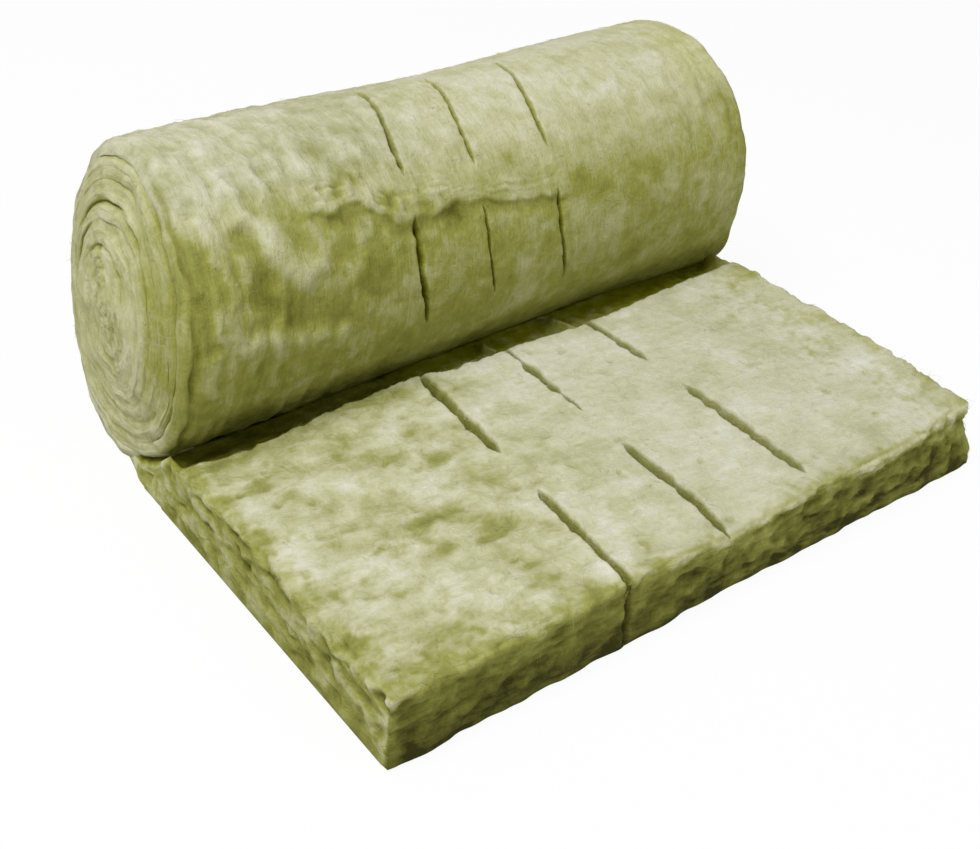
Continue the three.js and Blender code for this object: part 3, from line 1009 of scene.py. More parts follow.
# A crease along the start rim's front half, darkened with painted shade: degrees round the roll, then columns
# from the groove.
RIM_LINE = ((100, 7.2), (135, 8.4), (170, 9.3))
RIM_LINE_REACH = 1.5
RIM_LINE_DEPTH = 5 * MM
GROOVE_REACH = 34 * MM  # how far the outer turn's inner wall goes in
END_SINK = 24 * MM  # and how far its rims draw in where the laid mat takes its place
# Tone of the outer turn, with painted light and shade: pale on top, darker down its front to the foot.
# Degrees round the roll, then the tone.
DRUM_SHADED_TONES = (
    (-70, 0.45),
    (0, 0.62),
    (60, 0.79),
    (118, 0.79),
    (136, 0.66),
    (150, 0.55),
    (180, 0.50),
    (203, 0.48),
    (211, 0.41),
    (218, 0.33),
    (225, 0.30),
    (229, 0.36),
)
# How much sooner the painted shade at the roll's foot begins: metres along the roll, then degrees.
FOOT_SHADE = (
    (-0.55, 2),
    (-0.465, 7),
    (-0.345, 10),
    (-0.23, 3),
    (-0.12, -6),
    (0.0, 5),
    (0.09, 1),
    (0.20, -3),
    (0.30, 4),
    (0.41, 11),
    (0.56, 14),
)


def roll_line(cuts, line, degrees):
    """Where a cut line crosses the roll."""
    return read_off(ROLL_DRIFT, degrees) * MM + line * cuts.spacing_roll + 8 * MM * abs(line)


def rim_place(step, radius, groove, rounding, groove_depth):
    """Profile of a rim, from the groove out: how far in from the end, and how far from the axis."""
    band = radius - groove
    bend = np.minimum(rounding, 0.8 * band)
    arc = np.clip((step - FACE_STEPS) / (RIM_STEPS - FACE_STEPS), 0, 1) * math.pi / 2
    share = np.clip(step / FACE_STEPS, 0, 1)
    face_inset = groove_depth * (1 - share) ** 3
    face_radius = groove + (band - bend) * share
    on_arc = step >= FACE_STEPS
    inset = np.where(on_arc, bend * (1 - np.cos(arc)), face_inset)
    place_radius = np.where(on_arc, radius - bend * (1 - np.sin(arc)), face_radius)
    hidden = step < 0.5
    return np.where(hidden, GROOVE_REACH, inset), np.where(hidden, groove - 2 * MM, place_radius)


# Folds and hollows of the outer turn: height and half width, then places along the roll and degrees round it.
FOLDS = (
    (8, 18, ((-461, 131), (-441, 139), (-422, 147), (-395, 153), (-362, 154))),
    (5, 12, ((-527, 129), (-520, 138), (-512, 145), (-506, 156))),
    (4, 10, ((-487, 144), (-468, 148), (-476, 154), (-478, 164))),
    (5, 14, ((-515, 162), (-504, 169), (-486, 174), (-450, 174), (-399, 178), (-318, 181))),
    (4, 8, ((-536, 152), (-534, 170), (-534, 189))),
    (4, 9, ((-463, 113), (-458, 122), (-461, 128))),
    (-5, 13, ((-463, 136), (-456, 143), (-445, 152))),
    (-5, 26, ((-460, 159), (-399, 168), (-330, 175))),
    (-5, 9, ((-545, 153), (-542, 163), (-534, 171))),
    (-5, 9, ((-461, 115), (-448, 121), (-456, 126))),
    (-4, 8, ((-402, 114), (-397, 118), (-394, 123))),
    (-3, 18, ((-104, 147), (-98, 152))),
)


def path_gap(places, corners):
    """Distance from each place to a path through some corners."""
    nearest = np.full(len(places), 1.0)
    for start, end in zip(corners, corners[1:]):
        run = end - start
        share = np.clip((places - start) @ run / (run @ run), 0, 1)
        nearest = np.minimum(nearest, np.linalg.norm(places - start - share[:, None] * run, axis=1))
    return nearest


def fold_height(x, arc, form):
    """Height that the folds and hollows give to places on the roll, before they are made ragged."""
    places = np.stack([x, arc], axis=1)
    total = np.zeros(len(x))
    for height, half_width, path in FOLDS:
        corners = [np.array([along * MM, math.radians(degrees) * form.radius]) for along, degrees in path]
        total += height * MM * bump(0, 1.8 * half_width * MM, path_gap(places, corners))
    return total


# Darker and paler patches on the roll, like those of the mat; those near its foot, past about 185 degrees,
# shape the painted shade there. Millimetres along it, degrees round it, half width, and how much darker.
ROLL_PATCHES = (
    (-298, 113, 26, 0.16),
    (-226, 107, 22, 0.12),
    (-205, 118, 20, 0.08),
    (-274, 124, 24, 0.16),
    (-302, 130, 16, 0.12),
    (-219, 140, 20, 0.14),
    (-295, 142, 20, 0.08),
    (-345, 147, 22, -0.05),
    (-275, 148, 18, -0.05),
    (-320, 139, 12, 0.10),
    (-157, 144, 20, 0.12),
    (-98, 149, 22, 0.12),
    (-247, 141, 16, -0.12),
    (-265, 161, 38, 0.14),
    (-270, 177, 34, -0.05),
    (-430, 163, 30, 0.06),
    (25, 134, 22, 0.09),
    (50, 129, 14, 0.06),
    (-40, 140, 16, 0.07),
    (265, 114, 14, 0.08),
    (400, 128, 18, 0.05),
    (430, 142, 20, 0.05),
    (340, 155, 22, 0.08),
    (165, 152, 26, 0.12),
    (215, 157, 28, 0.12),
    (25, 150, 24, -0.08),
    (370, 164, 30, -0.05),
    (240, 172, 26, -0.05),
    (530, 186, 30, -0.06),
    (290, 165, 24, 0.06),
    (300, 193, 34, 0.10),
    (462, 196, 28, 0.09),
    (535, 135, 42, 0.10),
    (110, 140, 18, -0.05),
    (310, 120, 18, -0.04),
    (45, 196, 32, -0.11),
    (40, 178, 24, -0.08),
)


# The torn flap's lower edge: metres along the roll, then degrees round it.
FLAP_EDGE = (
    (-0.34, 136),
    (-0.27, 136),
    (-0.22, 146),
    (-0.15, 148),
    (-0.07, 146),
    (0.02, 151.5),
    (0.12, 155),
)


def make_outer_turn():
    """The roll's outer turn, with its cuts and its torn flap, and both rims down into the first groove."""
    scene = bpy.context.scene
    sizes, cuts, relief = scene.mat_sizes, scene.cut_sizes, scene.relief_sizes
    form = Form(sizes)
    seed = relief.seed + 100
    piece = add_drum("outer_turn", DRUM_SIDES, DRUM_COLUMNS)
    unit = read_points(piece)
    columns = math.prod(DRUM_COLUMNS)
    column = np.round((unit[:, 0] + 0.5) * columns)
    row = np.mod(np.round(np.arctan2(unit[:, 2], unit[:, 1]) / FULL_TURN * DRUM_SIDES), DRUM_SIDES)
    turned = np.interp(row / DRUM_SIDES, (0, DRUM_FINE_SIDES, 1), (0, DRUM_FINE_TURN, 1)) * FULL_TURN
    angle = form.nip_angle - turned
    degrees = np.degrees(angle)
    radius = form.outer_radius(angle, unit[:, 0] * 2 * form.half_width)
    under = smooth(-98, -126, degrees)
    sunk_in = END_SINK * smooth(-94, -120, degrees)
    radius = radius - (radius - form.radius + 3 * MM) * under
    groove = np.minimum(form.groove_radius(angle), radius - 14 * MM)

    # Profile across the rim, for the first and last columns.
    near_start = column < columns / 2
    step = np.minimum(np.minimum(column, columns - column), RIM_STEPS)
    far_round = sizes.far_rim_round * (1 - 0.65 * smooth(165, 215, degrees))
    rounding = np.where(near_start, sizes.start_rim_round, far_round)
    rim_depth = relief.groove_depth * groove_share(0, angle, np.zeros_like(angle), seed)
    inset, place_radius = rim_place(step, radius, groove, rounding, rim_depth)
    wheel = on_ring(angle, WHEEL_SIZE, np.zeros_like(angle))
    line_step = read_off(RIM_LINE, degrees) + 0.7 * soft_noise(wheel, 60 * MM, seed + 80)
    rim_line = bump(line_step, RIM_LINE_REACH, step) * near_start
    rim_line *= smooth(92, 118, degrees) * smooth(232, 218, degrees)
    rim_line *= 1 + 0.5 * soft_noise(wheel, 45 * MM, seed + 81)
    place_radius = place_radius - RIM_LINE_DEPTH * rim_line
    on_face = step >= RIM_STEPS
    x_start = -form.half_width + form.end_inset(START, place_radius, angle) + sunk_in
    x_far = form.half_width - form.end_inset(FAR, place_radius, angle) - sunk_in
    bend_start = np.minimum(sizes.start_rim_round, 0.8 * (radius - groove))
    bend_far = np.minimum(far_round, 0.8 * (radius - groove))

    arc = form.radius * angle
    degree = math.radians(1) * form.radius
    centres, halves, depths = lay_cut_lines(
        ROLL_CUTS, arc, degree, wheel, lambda line: roll_line(cuts, line, degrees), ROLL_CUT_NOISE, seed
    )
    inner = columns - 2 * RIM_STEPS
    share = np.clip((column - RIM_STEPS) / inner, 0, 1)
    bundles = [first - RIM_STEPS for first in DRUM_BUNDLES]
    x, deep = place_columns(share, bundles, inner, (x_start + bend_start, x_far - bend_far), centres, halves)
    x = np.where(on_face, x, np.where(near_start, x_start + inset, x_far - inset))
    cut, slit_shade = cut_shares(column, DRUM_BUNDLES, depths, deep, 0.5)

    base = form.roll_place(x, place_radius, angle)
    loose = shaken(base, 9 * MM, 32 * MM, seed + 70)
    moved_x = x + loose[:, 0] - base[:, 0]
    moved_arc = arc + loose[:, 1] - base[:, 1]

    # Plates, tufts, and ropes of wool that run round the roll near its start end.
    start_side = smooth(-0.12, -0.34, x)
    start_rim = smooth(-0.38, -0.50, x)
    mottle = 0.42 + 0.18 * smooth(0.22, -0.20, x)
    plate = plates(loose, relief.plate_size * 0.9, seed, 0.5)
    chip = plates(loose, relief.plate_size * 0.36, seed + 4, 0.5)
    tuft = fractal(base, relief.tuft_size, seed + 8, 2)
    rope_place = np.stack([moved_x, moved_arc, np.zeros_like(x)], axis=1)
    ropes = fractal(rope_place, np.array([19, 80, 1]) * MM, seed + 16, 2)
    folds = fold_height(moved_x, moved_arc, form)
    away = relief.plate_height * (0.4 * plate + 0.15 * chip) * mottle + relief.tuft_height * 0.8 * tuft
    far_side = smooth(0.40, 0.52, x)
    away += 2.4 * MM * ropes * (0.25 + start_side + 0.6 * far_side) + folds

    # The torn flap: it rises from above, wrinkles along the roll, and ends in a ragged lower edge.
    edge_noise = 7 * MM * soft_noise(base, 42 * MM, seed + 61) + 5 * MM * soft_noise(base, 15 * MM, seed + 62)
    below = degree * (degrees - read_off(FLAP_EDGE, x)) + edge_noise
    in_flap = smooth(-0.40, -0.33, x) * smooth(0.16, 0.09, x)
    strength = np.clip(0.75 + 0.6 * soft_noise(base, 60 * MM, seed + 66), 0.2, 1.2)
    lift = strength * smooth(-62 * MM, -9 * MM, below) * smooth(7 * MM, -2 * MM, below)
    phase = below / (10.5 * MM) + 0.9 * soft_noise(base, np.array([70, 26, 26]) * MM, seed + 63)
    wrinkled = smooth(-0.3, 0.4, soft_noise(base, np.array([75, 22, 22]) * MM, seed + 64))
    wrinkle = np.cos(FULL_TURN * phase) * wrinkled
    lumps = plates(loose, 21 * MM, seed + 65) * smooth(-0.10, -0.17, x)
    creased = bump(-27 * MM, 34 * MM, below)
    hollow = bump(13 * MM, 17 * MM, below)
    away += in_flap * (3.6 * lift + creased * (2.0 * wrinkle + 3.0 * lumps) - 2.0 * hollow) * MM

    shown = np.where(on_face, 1.0, 0.35) * (1 - under)
    final_radius = place_radius + away * shown - cuts.roll_depth * cut
    points = form.roll_place(x, final_radius, angle)
    out = end_relief(FAR, base[:, 1], base[:, 2], place_radius, angle, seed)
    points[:, 0] += np.where(near_start, START, FAR) * out * np.where(on_face, 0, 1)
    form.settle_roll(points)
    points[:, 2] = np.maximum(points[:, 2], 0.5 * MM)
    write_points(piece, points)

    # The painted shade at the foot starts sooner or later along the roll.
    foot_shade_shift = 3.5 * fractal(base, 40 * MM, seed + 71, 2) + read_off(FOOT_SHADE, x)
    foot_shade_shift *= smooth(199, 210, degrees)
    tone = read_off(DRUM_SHADED_TONES, degrees + foot_shade_shift)
    tone += 0.06 * plate * mottle + 0.04 * chip * mottle + 0.03 * tuft
    tone += 0.05 * ropes * (start_side + start_rim)
    # Painted highlight on the folds and painted shade in the hollows.
    tone += 22 * np.clip(folds, -0.01, 0.01)
    # The flap's tone follows its relief, with painted highlights on its ridges and lumps, painted shade in
    # its hollow and a painted shadow under its lower edge.
    tone += in_flap * (0.07 * lift + 0.06 * creased * wrinkle + 0.08 * creased * lumps - 0.10 * hollow)
    tone -= in_flap * 0.13 * strength * bump(4 * MM, 7 * MM, below)
    tone -= patch_tone(moved_x, moved_arc, ROLL_PATCHES, degree)
    tone += 0.05 * fractal(loose, np.array([170, 80, 80]) * MM, seed + 73, 3, 0.6)
    tone -= 0.08 * smooth(0.05, -0.2, x) * smooth(168, 140, degrees)
    tone += 0.05 * smooth(148, 168, degrees) * smooth(-0.1, 0.3, x) * (degrees < 229)
    tone -= 0.03 * far_side * (1 + 2 * ropes)
    # Painted shade in the slits.
    tone *= 1 - 0.8 * slit_shade
    rim_share = smooth(RIM_STEPS, FACE_STEPS - 2, step)
    # On the rims the end's tone takes over, with the same painted light and shade.
    tone += rim_share * (end_tone(place_radius, np.mod(degrees, 360)) + 14 * out - tone)
    # Painted shade in the crease along the start rim.
    tone -= 0.24 * rim_line
    store(piece, "tone", tone)
    store(piece, "mottle", mottle)
    faded = smooth(132, 118, degrees) * (smooth(0.0, -0.25, x) - 1.2 * smooth(0.42, 0.54, x))
    # Painted shade is a deeper green too: on the roll's lower front, past about 125 degrees, and in the
    # slits.
    lower_front_shade = smooth(125, 160, degrees) * (1 - rim_share)
    store(piece, "binder", 0.95 + 0.06 * lower_front_shade - 0.17 * faded + 0.2 * slit_shade)
    store(piece, "grain", np.stack([arc, x, place_radius], axis=1))
    finish_piece(piece)


# The turns that show on the roll's ends

MERGE_GAP = 0.02 * MM  # points that lie closer are one: the edges of neighbouring turns
END_BACK = 32 * MM  # thickness of the disc that carries an end's turns
EYE_REST = 18 * MM  # radius at which the turns stop
EYE_TURNS = 2.2  # turns round the axis within which an open edge is the eye's, not the rim's
END_MESH = ((START, "start_turns", 22, 400), (FAR, "far_turns", 10, 240))  # side, rows a turn, steps a turn


def add_strip(name, rows, steps):
    """A flat unit grid, rows across and steps along."""
    deselect()
    bpy.ops.mesh.primitive_grid_add(x_subdivisions=rows, y_subdivisions=steps, size=1)
    piece = bpy.context.object
    piece.name = name
    return piece


def close_disc(piece, side, eye_reach, depth):
    """Merges the turns, sinks and fills the eye, and gives the disc its rim and back."""
    edit_all(piece)
    bpy.ops.mesh.remove_doubles(threshold=MERGE_GAP)
    bpy.ops.mesh.select_mode(type="EDGE")
    for at_eye, reach in ((True, 0.5 * depth), (False, depth)):
        mesh = bmesh.from_edit_mesh(piece.data)
        for face in mesh.faces:
            face.select_set(False)
        for edge in mesh.edges:
            middle = (edge.verts[0].co + edge.verts[1].co) / 2
            inside = math.hypot(middle.y - eye_reach[0], middle.z - eye_reach[1]) < eye_reach[2]
            edge.select_set(edge.is_boundary and inside == at_eye)
        bmesh.update_edit_mesh(piece.data)
        bpy.ops.mesh.extrude_edges_move(TRANSFORM_OT_translate={"value": (-side * reach, 0, 0)})
        bpy.ops.mesh.edge_face_add()
    bpy.ops.object.mode_set(mode="OBJECT")


# Grooves that are deeper than the rest: turn, counted inwards, start and end in degrees, and added depth.
DEEP_GROOVES = (
    (0, 105, 215, 0.25),
    (1, 85, 125, 0.3),
    (2, 38, 110, 1.0),
    (3, -8, 35, 1.1),
    (4, 60, 150, 0.5),
)
# Slits in the start end: depth and half width, then distances from the axis and degrees round it.
END_SLITS = (
    (6, 7, ((88, 67), (62, 88), (50, 112), (44, 160), (50, 217))),
    (4, 6, ((72, 170), (78, 205), (74, 240))),
)


def groove_share(turn, angle, winding, seed):
    """How deep the groove on a turn's outer edge is, as a share of the usual depth."""
    swing = on_ring(angle, 0.3, winding * 0.35)
    share = 0.28 + 0.45 * soft_noise(swing, 0.12, seed + 3)
    degrees = np.degrees(angle)
    for groove_turn, start, end, depth in DEEP_GROOVES:
        middle, reach = (start + end) / 2, (end - start) / 2 + 20
        away = np.abs(np.mod(degrees - middle + 180, 360) - 180)
        share = share + depth * (np.abs(turn - groove_turn) < 0.5) * smooth(reach, reach - 25, away)
    return np.clip(share, 0.08, 2.0)


def end_tone(radius, degrees):
    """Tone of an end: on its front half the outermost turns are darker and greener with painted shade, and
    those next to them paler.
    """
    front = smooth(100, 150, degrees) * smooth(228, 185, degrees)
    band = 0.15 * smooth(120 * MM, 150 * MM, radius) + 0.08 * smooth(188 * MM, 214 * MM, radius)
    pale = bump(106 * MM, 26 * MM, radius)
    return 0.70 + front * (0.05 * pale - band)


def end_relief(side, y, z, radius, angle, seed):
    """Height of the torn layers on an end, which run round with the turns."""
    flat_place = np.stack([np.zeros_like(y), y, z], axis=1)
    bent = radius + 4.5 * MM * soft_noise(flat_place, 40 * MM, seed + 6)
    layer_place = np.stack([bent, np.cos(angle) * 0.12, np.sin(angle) * 0.12], axis=1)
    layers = fractal(layer_place, np.array([9, 42, 42]) * MM, seed + 7, 2, 0.55)
    clump = fractal(flat_place, 44 * MM, seed + 8, 2)
    height = 2.0 * MM * layers + 3.0 * MM * clump
    if side == START:
        places = np.stack([radius * np.cos(angle), radius * np.sin(angle)], axis=1)
        for depth, half_width, path in END_SLITS:
            corners = [
                np.array([math.cos(math.radians(turned)), math.sin(math.radians(turned))]) * reach * MM
                for reach, turned in path
            ]
            gap = path_gap(places, corners) * (1 + 0.3 * layers)
            height = height - depth * MM * bump(0, 1.8 * half_width * MM, gap)
    return height


def make_end_turns(name, side, rows, steps_per_turn):
    """The wound turns on one end, as one spiral ribbon whose edges meet."""
    scene = bpy.context.scene
    sizes, relief = scene.mat_sizes, scene.relief_sizes
    form = Form(sizes)
    seed = relief.seed + (200 if side == START else 300)
    turns = int((form.radius - EYE_REST) / sizes.turn_pitch)
    total_steps = turns * steps_per_turn
    piece = add_strip(name, rows, total_steps)
    unit = read_points(piece) + 0.5
    across = unit[:, 0]
    turned = np.round(unit[:, 1] * total_steps) / steps_per_turn * FULL_TURN
    angle = form.nip_angle + turned
    winding = turned / FULL_TURN + across
    radius = form.radius - sizes.turn_pitch * winding

    # Turns wander a little, and near the middle they are pressed flat and lean over.
    wheel = on_ring(angle, 0.4, winding * 0.9)
    wander = 5.0 * MM * fractal(wheel, 0.34, seed + 1, 2) * smooth(0.0, 0.9, winding)
    radius = radius + wander + 1.0 * MM * (across == 0) * (winding < 1)
    inner = 1 - smooth(10 * MM, 130 * MM, radius)
    y = form.axis_y + radius * (1 - 0.5 * inner) * np.cos(angle) + 0.35 * inner * radius * np.sin(angle)
    z = form.axis_z + radius * np.sin(angle)

    edge = np.abs(2 * across - 1)
    outer_turn = np.floor(turned / FULL_TURN + JUST_PAST)
    this_groove = np.where(across < 0.5, outer_turn, outer_turn + 1)
    groove = relief.groove_depth * groove_share(this_groove, angle, this_groove, seed) * edge**3.5
    proud = 5 * MM * soft_noise(on_ring(angle, 0.3, winding * 0.35), 0.22, seed + 5) * (1 - edge**2)
    relief_height = end_relief(side, y, z, radius, angle, seed)
    rim_round = sizes.start_rim_round if side == START else 0.5 * sizes.far_rim_round
    rim = rim_round * (1 - across) ** 4 * smooth(math.radians(45), 0, turned)
    out = proud - groove + relief_height - rim
    x = side * (form.half_width - form.end_inset(side, radius, angle) + out)
    points = np.stack([x, y, z], axis=1)
    form.settle_roll(points)
    write_points(piece, points)

    # Tone follows the relief as painted light and shade: paler where the layers stand out, darker in the
    # slits and in the grooves between the turns.
    tone = end_tone(radius, np.degrees(np.mod(angle, FULL_TURN))) + 12 * relief_height + 6 * proud
    tone -= 0.22 * np.minimum(groove / relief.groove_depth, 1.3)
    store(piece, "tone", tone)
    store(piece, "mottle", np.full(len(tone), 0.55))
    store(piece, "binder", np.full(len(tone), 1.0))
    turning = (np.cos(angle) + np.sin(angle)) * radius * 0.4
    store(piece, "grain", np.stack([turning, radius, x], axis=1))
    middle = (form.axis_y + sizes.skew * side / 2, form.axis_z, EYE_TURNS * sizes.turn_pitch)
    close_disc(piece, side, middle, END_BACK)
    finish_piece(piece)


# Loose fibres

STRAND_RINGS = 4
STRAND_SIDES = 3
FIBRE_BEDS = (("laid_mat", 3900), ("outer_turn", 2900), ("start_turns", 800))  # how many lie on each piece
FIBRE_LENGTHS = (5 * MM, 17 * MM)
FIBRE_RADII = (0.12 * MM, 0.24 * MM)
FIBRE_EDGE = 592 * MM  # no fibre is rooted further out along the roll
FIBRE_LOW = 25 * MM  # or nearer the floor


def read_faces(piece):
    """Middle, direction and area of each face of a piece."""
    faces = piece.data.polygons
    middles, normals, areas = np.empty(len(faces) * 3), np.empty(len(faces) * 3), np.empty(len(faces))
    faces.foreach_get("center", middles)
    faces.foreach_get("normal", normals)
    faces.foreach_get("area", areas)
    return middles.reshape(-1, 3), normals.reshape(-1, 3), areas


def strand_paths(roots, normals, draw):
    """Middle lines of loose fibres, that lie on the wool or stand a little off it, from their roots."""
    count = len(roots)
    aside = np.cross(normals, draw.normal(size=(count, 3)))
    aside /= np.linalg.norm(aside, axis=1, keepdims=True)
    curl = np.cross(aside, normals) * draw.normal(0, 0.7, (count, 1))
    length = draw.uniform(*FIBRE_LENGTHS, (count, 1))
    standing = draw.uniform(0, 1, (count, 1)) ** 3 * 0.28
    lying = draw.uniform(0.3, 1.1, (count, 1)) * MM
    paths = []
    for step in range(STRAND_RINGS + 2):
        along = step / (STRAND_RINGS + 1)
        height = lying * math.sin(math.pi * along) + standing * length * along**1.5
        sideways = (aside * along + curl * along**2) * length
        paths.append(roots + sideways + normals * (height - 0.6 * MM))
    return np.stack(paths, axis=1)


def make_fibres():
    """Loose fibres on the wool's faces and torn edges, each a thin closed strand."""
    relief = bpy.context.scene.relief_sizes
    form = Form(bpy.context.scene.mat_sizes)
    draw = np.random.default_rng(relief.seed + 500)
    roots, normals, tones = [], [], []
    for name, count in FIBRE_BEDS:
        bed = bpy.data.objects[name]
        middles, facings, areas = read_faces(bed)
        bed_tones = np.empty(len(bed.data.vertices), dtype=np.float32)
        bed.data.attributes["tone"].data.foreach_get("value", bed_tones)
        open_air = (facings[:, 2] > -0.75) & (middles[:, 2] > FIBRE_LOW)
        open_air &= np.abs(middles[:, 0]) < FIBRE_EDGE
        if name == "laid_mat":
            open_air &= middles[:, 1] < form.nip_y
            areas = areas * (1 + 2.5 * (facings[:, 2] < 0.8))
        share = areas * open_air
        share = np.minimum(share, np.quantile(share[share > 0], 0.995))
        picked = draw.choice(len(share), count, p=share / share.sum())
        roots.append(middles[picked])
        normals.append(facings[picked])
        nearest = [bed.data.polygons[face].vertices[0] for face in picked.tolist()]
        tones.append(bed_tones[nearest] + 0.08 + draw.normal(0, 0.05, count))
    roots, normals, tones = np.concatenate(roots), np.concatenate(normals), np.concatenate(tones)
    paths = strand_paths(roots, normals, draw)
    thickness = draw.uniform(*FIBRE_RADII, (len(roots), 1, 1, 1))
    heading = paths[:, 2:] - paths[:, :-2]
    heading /= np.linalg.norm(heading, axis=2, keepdims=True)
    across = np.cross(heading, normals[:, None])
    across /= np.linalg.norm(across, axis=2, keepdims=True)
    upward = np.cross(across, heading)
    turn = np.arange(STRAND_SIDES) * FULL_TURN / STRAND_SIDES
    spread = across[:, :, None] * np.cos(turn)[:, None] + upward[:, :, None] * np.sin(turn)[:, None]
    rings = paths[:, 1:-1, None] + thickness * spread
    points = np.concatenate([rings.reshape(len(roots), -1, 3), paths[:, :1], paths[:, -1:]], axis=1)

    per_strand = points.shape[1]
    first_tip, last_tip = per_strand - 2, per_strand - 1
    faces = []
    for side in range(STRAND_SIDES):
        after = (side + 1) % STRAND_SIDES
        last = (STRAND_RINGS - 1) * STRAND_SIDES
        faces += [(first_tip, after, side), (last_tip, last + side, last + after)]
        for ring in range(0, last, STRAND_SIDES):
            low, high = ring + STRAND_SIDES, ring
            faces += [(high + side, high + after, low + after), (high + side, low + after, low + side)]
    steps = np.arange(len(roots))[:, None, None] * per_strand
    mesh = bpy.data.meshes.new("loose_fibres")
    mesh.from_pydata(points.reshape(-1, 3), [], (np.array(faces)[None] + steps).reshape(-1, 3).tolist())
    piece = bpy.data.objects.new("loose_fibres", mesh)
    bpy.context.collection.objects.link(piece)
    store(piece, "tone", np.repeat(tones, per_strand))
    store(piece, "mottle", np.zeros(len(points) * per_strand))
    store(piece, "binder", np.full(len(points) * per_strand, 0.92))
    store(piece, "grain", points.reshape(-1, 3))
    finish_piece(piece)


# Stage

LENS = 48.457  # millimetres, on a sensor this wide
SENSOR = 36.0
CAMERA_PLACE = (-1.1858, -1.3480, 1.2211)
CAMERA_TURN = (-40.97, 34.83, 5.53)  # heading from +Y, downward tilt and roll, in degrees
CLIP_END = 50
FLOOR_SIZE = 14
FLOOR_SEEN = 0.93  # share of plain white in the floor that the camera sees; the rest takes the shadow
FLOOR_MATT = 0.8  # share of the light that the floor throws back
SKY_SEEN = 0.955  # brightness of the sky behind the floor
KEY_LAMP = ((-2.3, -0.1, 5.2), 3.2)  # place and width
FILL_LAMP = ((0.9, -3.3, 1.6), 2.4)
LAMP_AIM = (0, 0.1, 0.1)


def aim_camera():
    """Sets the camera, which looks down on the roll's start end and the mat's front corner."""
    deselect()
    bpy.ops.object.camera_add(location=CAMERA_PLACE)
    camera = bpy.context.object
    heading, tilt, roll = (math.radians(value) for value in CAMERA_TURN)
    ahead = Vector(
        (-math.sin(heading) * math.cos(tilt), math.cos(heading) * math.cos(tilt), -math.sin(tilt))
    )
    level = ahead.cross(Vector((0, 0, 1))).normalized()
    upward = level.cross(ahead)
    right = level * math.cos(roll) + upward * math.sin(roll)
    up = upward * math.cos(roll) - level * math.sin(roll)
    camera.matrix_world = Matrix.Translation(CAMERA_PLACE) @ Matrix((right, up, -ahead)).transposed().to_4x4()
    camera.data.sensor_fit = "HORIZONTAL"
    camera.data.sensor_width = SENSOR
    camera.data.lens = LENS
    camera.data.clip_end = CLIP_END
    bpy.context.scene.camera = camera


def studio_floor():
    """Matt white paint: the camera sees it near white, and it keeps the object's shadow."""
    settings = bpy.context.scene.studio
    material = bpy.data.materials.new("matt_white_paint")
    material.use_nodes = True
    tree = material.node_tree
    tree.nodes.clear()
    path = add_node(tree, "ShaderNodeLightPath")
    seen = add_node(
        tree,
        "ShaderNodeMath",
        {0: path.outputs["Is Camera Ray"], 1: path.outputs["Is Glossy Ray"]},
        operation="MAXIMUM",
    )
    seen = add_node(
        tree,
        "ShaderNodeMath",
        {0: seen.outputs[0], 1: path.outputs["Is Transmission Ray"]},
        operation="MAXIMUM",
    )
    share = add_node(tree, "ShaderNodeMath", {0: seen.outputs[0], 1: FLOOR_SEEN}, operation="MULTIPLY")
    lit = add_node(tree, "ShaderNodeBsdfDiffuse", {"Color": (*[c * FLOOR_MATT for c in settings.floor], 1)})
    white = add_node(tree, "ShaderNodeEmission", {"Color": (*settings.floor, 1), "Strength": 1.0})
    mixed = add_node(
        tree,
        "ShaderNodeMixShader",
        {0: share.outputs[0], 1: lit.outputs["BSDF"], 2: white.outputs["Emission"]},
    )
    add_node(tree, "ShaderNodeOutputMaterial", {"Surface": mixed.outputs["Shader"]})
    return material


def add_lamp(place, size, power):
    """Adds a round softbox that points at the roll's foot."""
    deselect()
    bpy.ops.object.light_add(type="AREA", location=place)
    lamp = bpy.context.object
    lamp.data.shape = "DISK"
    lamp.data.size = size
    lamp.data.energy = power
    toward = Vector(LAMP_AIM) - lamp.location
    lamp.rotation_euler = toward.to_track_quat("-Z", "Y").to_euler()


def make_stage():
    """Floor, lamps, sky and camera."""
    scene = bpy.context.scene
    settings = scene.studio
    deselect()
    bpy.ops.mesh.primitive_plane_add(size=FLOOR_SIZE)
    floor = bpy.context.object
    floor.name = "floor"
    floor.data.materials.append(studio_floor())

    add_lamp(*KEY_LAMP, settings.key_power)
    add_lamp(*FILL_LAMP, settings.fill_power)

    world = bpy.data.worlds.new("studio_sky")
    scene.world = world
    world.use_nodes = True
    tree = world.node_tree
    tree.nodes.clear()
    path = add_node(tree, "ShaderNodeLightPath")
    strength = add_node(
        tree,
        "ShaderNodeMix",
        {0: path.outputs["Is Camera Ray"], 2: settings.sky_strength, 3: SKY_SEEN},
        data_type="FLOAT",
    )
    sky = add_node(
        tree,
        "ShaderNodeBackground",
        {"Color": (*settings.floor, 1), "Strength": strength.outputs[0]},
    )
    add_node(tree, "ShaderNodeOutputWorld", {"Surface": sky.outputs["Background"]})
    scene.view_settings.view_transform = "Standard"
    aim_camera()


# Operators and panel


class MATROLL_OT_laid_mat(bpy.types.Operator):
    """Adds the flat part of the mat, with its cuts and its torn edges"""

    bl_idname = "matroll.laid_mat"
    bl_label = "Laid Mat"

    def execute(self, context):
        make_laid_mat()
        return {"FINISHED"}


class MATROLL_OT_outer_turn(bpy.types.Operator):
    """Adds the roll's outer turn, with its cuts and its torn band"""

    bl_idname = "matroll.outer_turn"
    bl_label = "Outer Turn"

    def execute(self, context):
        make_outer_turn()
        return {"FINISHED"}


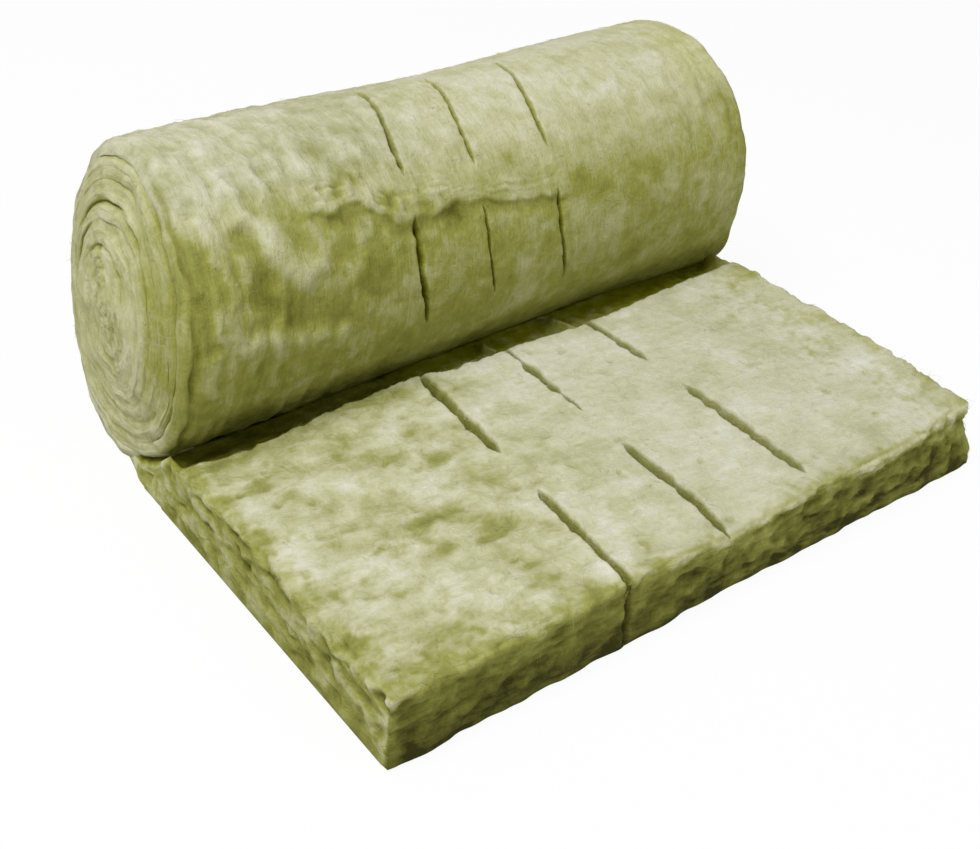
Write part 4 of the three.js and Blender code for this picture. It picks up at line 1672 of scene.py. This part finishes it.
class MATROLL_OT_end_turns(bpy.types.Operator):
    """Adds the wound turns that show on the roll's two ends"""

    bl_idname = "matroll.end_turns"
    bl_label = "End Turns"

    def execute(self, context):
        for side, name, rows, steps_per_turn in END_MESH:
            make_end_turns(name, side, rows, steps_per_turn)
        return {"FINISHED"}


class MATROLL_OT_fibres(bpy.types.Operator):
    """Adds the loose fibres on the mat and the roll"""

    bl_idname = "matroll.fibres"
    bl_label = "Loose Fibres"

    def execute(self, context):
        make_fibres()
        return {"FINISHED"}


class MATROLL_OT_stage(bpy.types.Operator):
    """Adds the floor, the lamps, the sky and the camera"""

    bl_idname = "matroll.stage"
    bl_label = "Stage"

    def execute(self, context):
        make_stage()
        return {"FINISHED"}


class MATROLL_PT_panel(bpy.types.Panel):
    """Lists the roll's pieces, its sizes and its colours"""

    bl_idname = "MATROLL_PT_panel"
    bl_label = "Insulation Roll"
    bl_space_type = "VIEW_3D"
    bl_region_type = "UI"
    bl_category = "Insulation Roll"

    def draw(self, context):
        layout = self.layout
        for operator in OPERATORS:
            layout.operator(operator.bl_idname)
        for name, group in SCENE_GROUPS.items():
            box = layout.box()
            box.label(text=group.__name__)
            for field in group.__annotations__:
                box.prop(getattr(context.scene, name), field)


OPERATORS = (
    MATROLL_OT_stage,
    MATROLL_OT_laid_mat,
    MATROLL_OT_outer_turn,
    MATROLL_OT_end_turns,
    MATROLL_OT_fibres,
)
CLASSES = (*SCENE_GROUPS.values(), *OPERATORS, MATROLL_PT_panel)


def register():
    """Registers the groups, the operators and the panel."""
    for made in CLASSES:
        bpy.utils.register_class(made)
    for name, group in SCENE_GROUPS.items():
        setattr(bpy.types.Scene, name, PointerProperty(type=group))


def unregister():
    """Takes them all away again."""
    for name in SCENE_GROUPS:
        delattr(bpy.types.Scene, name)
    for made in reversed(CLASSES):
        bpy.utils.unregister_class(made)


def main():
    """Builds the stage and each piece in order."""
    register()
    bpy.ops.matroll.stage()
    bpy.ops.matroll.laid_mat()
    bpy.ops.matroll.outer_turn()
    bpy.ops.matroll.end_turns()
    bpy.ops.matroll.fibres()


if __name__ == "__main__":
    main()
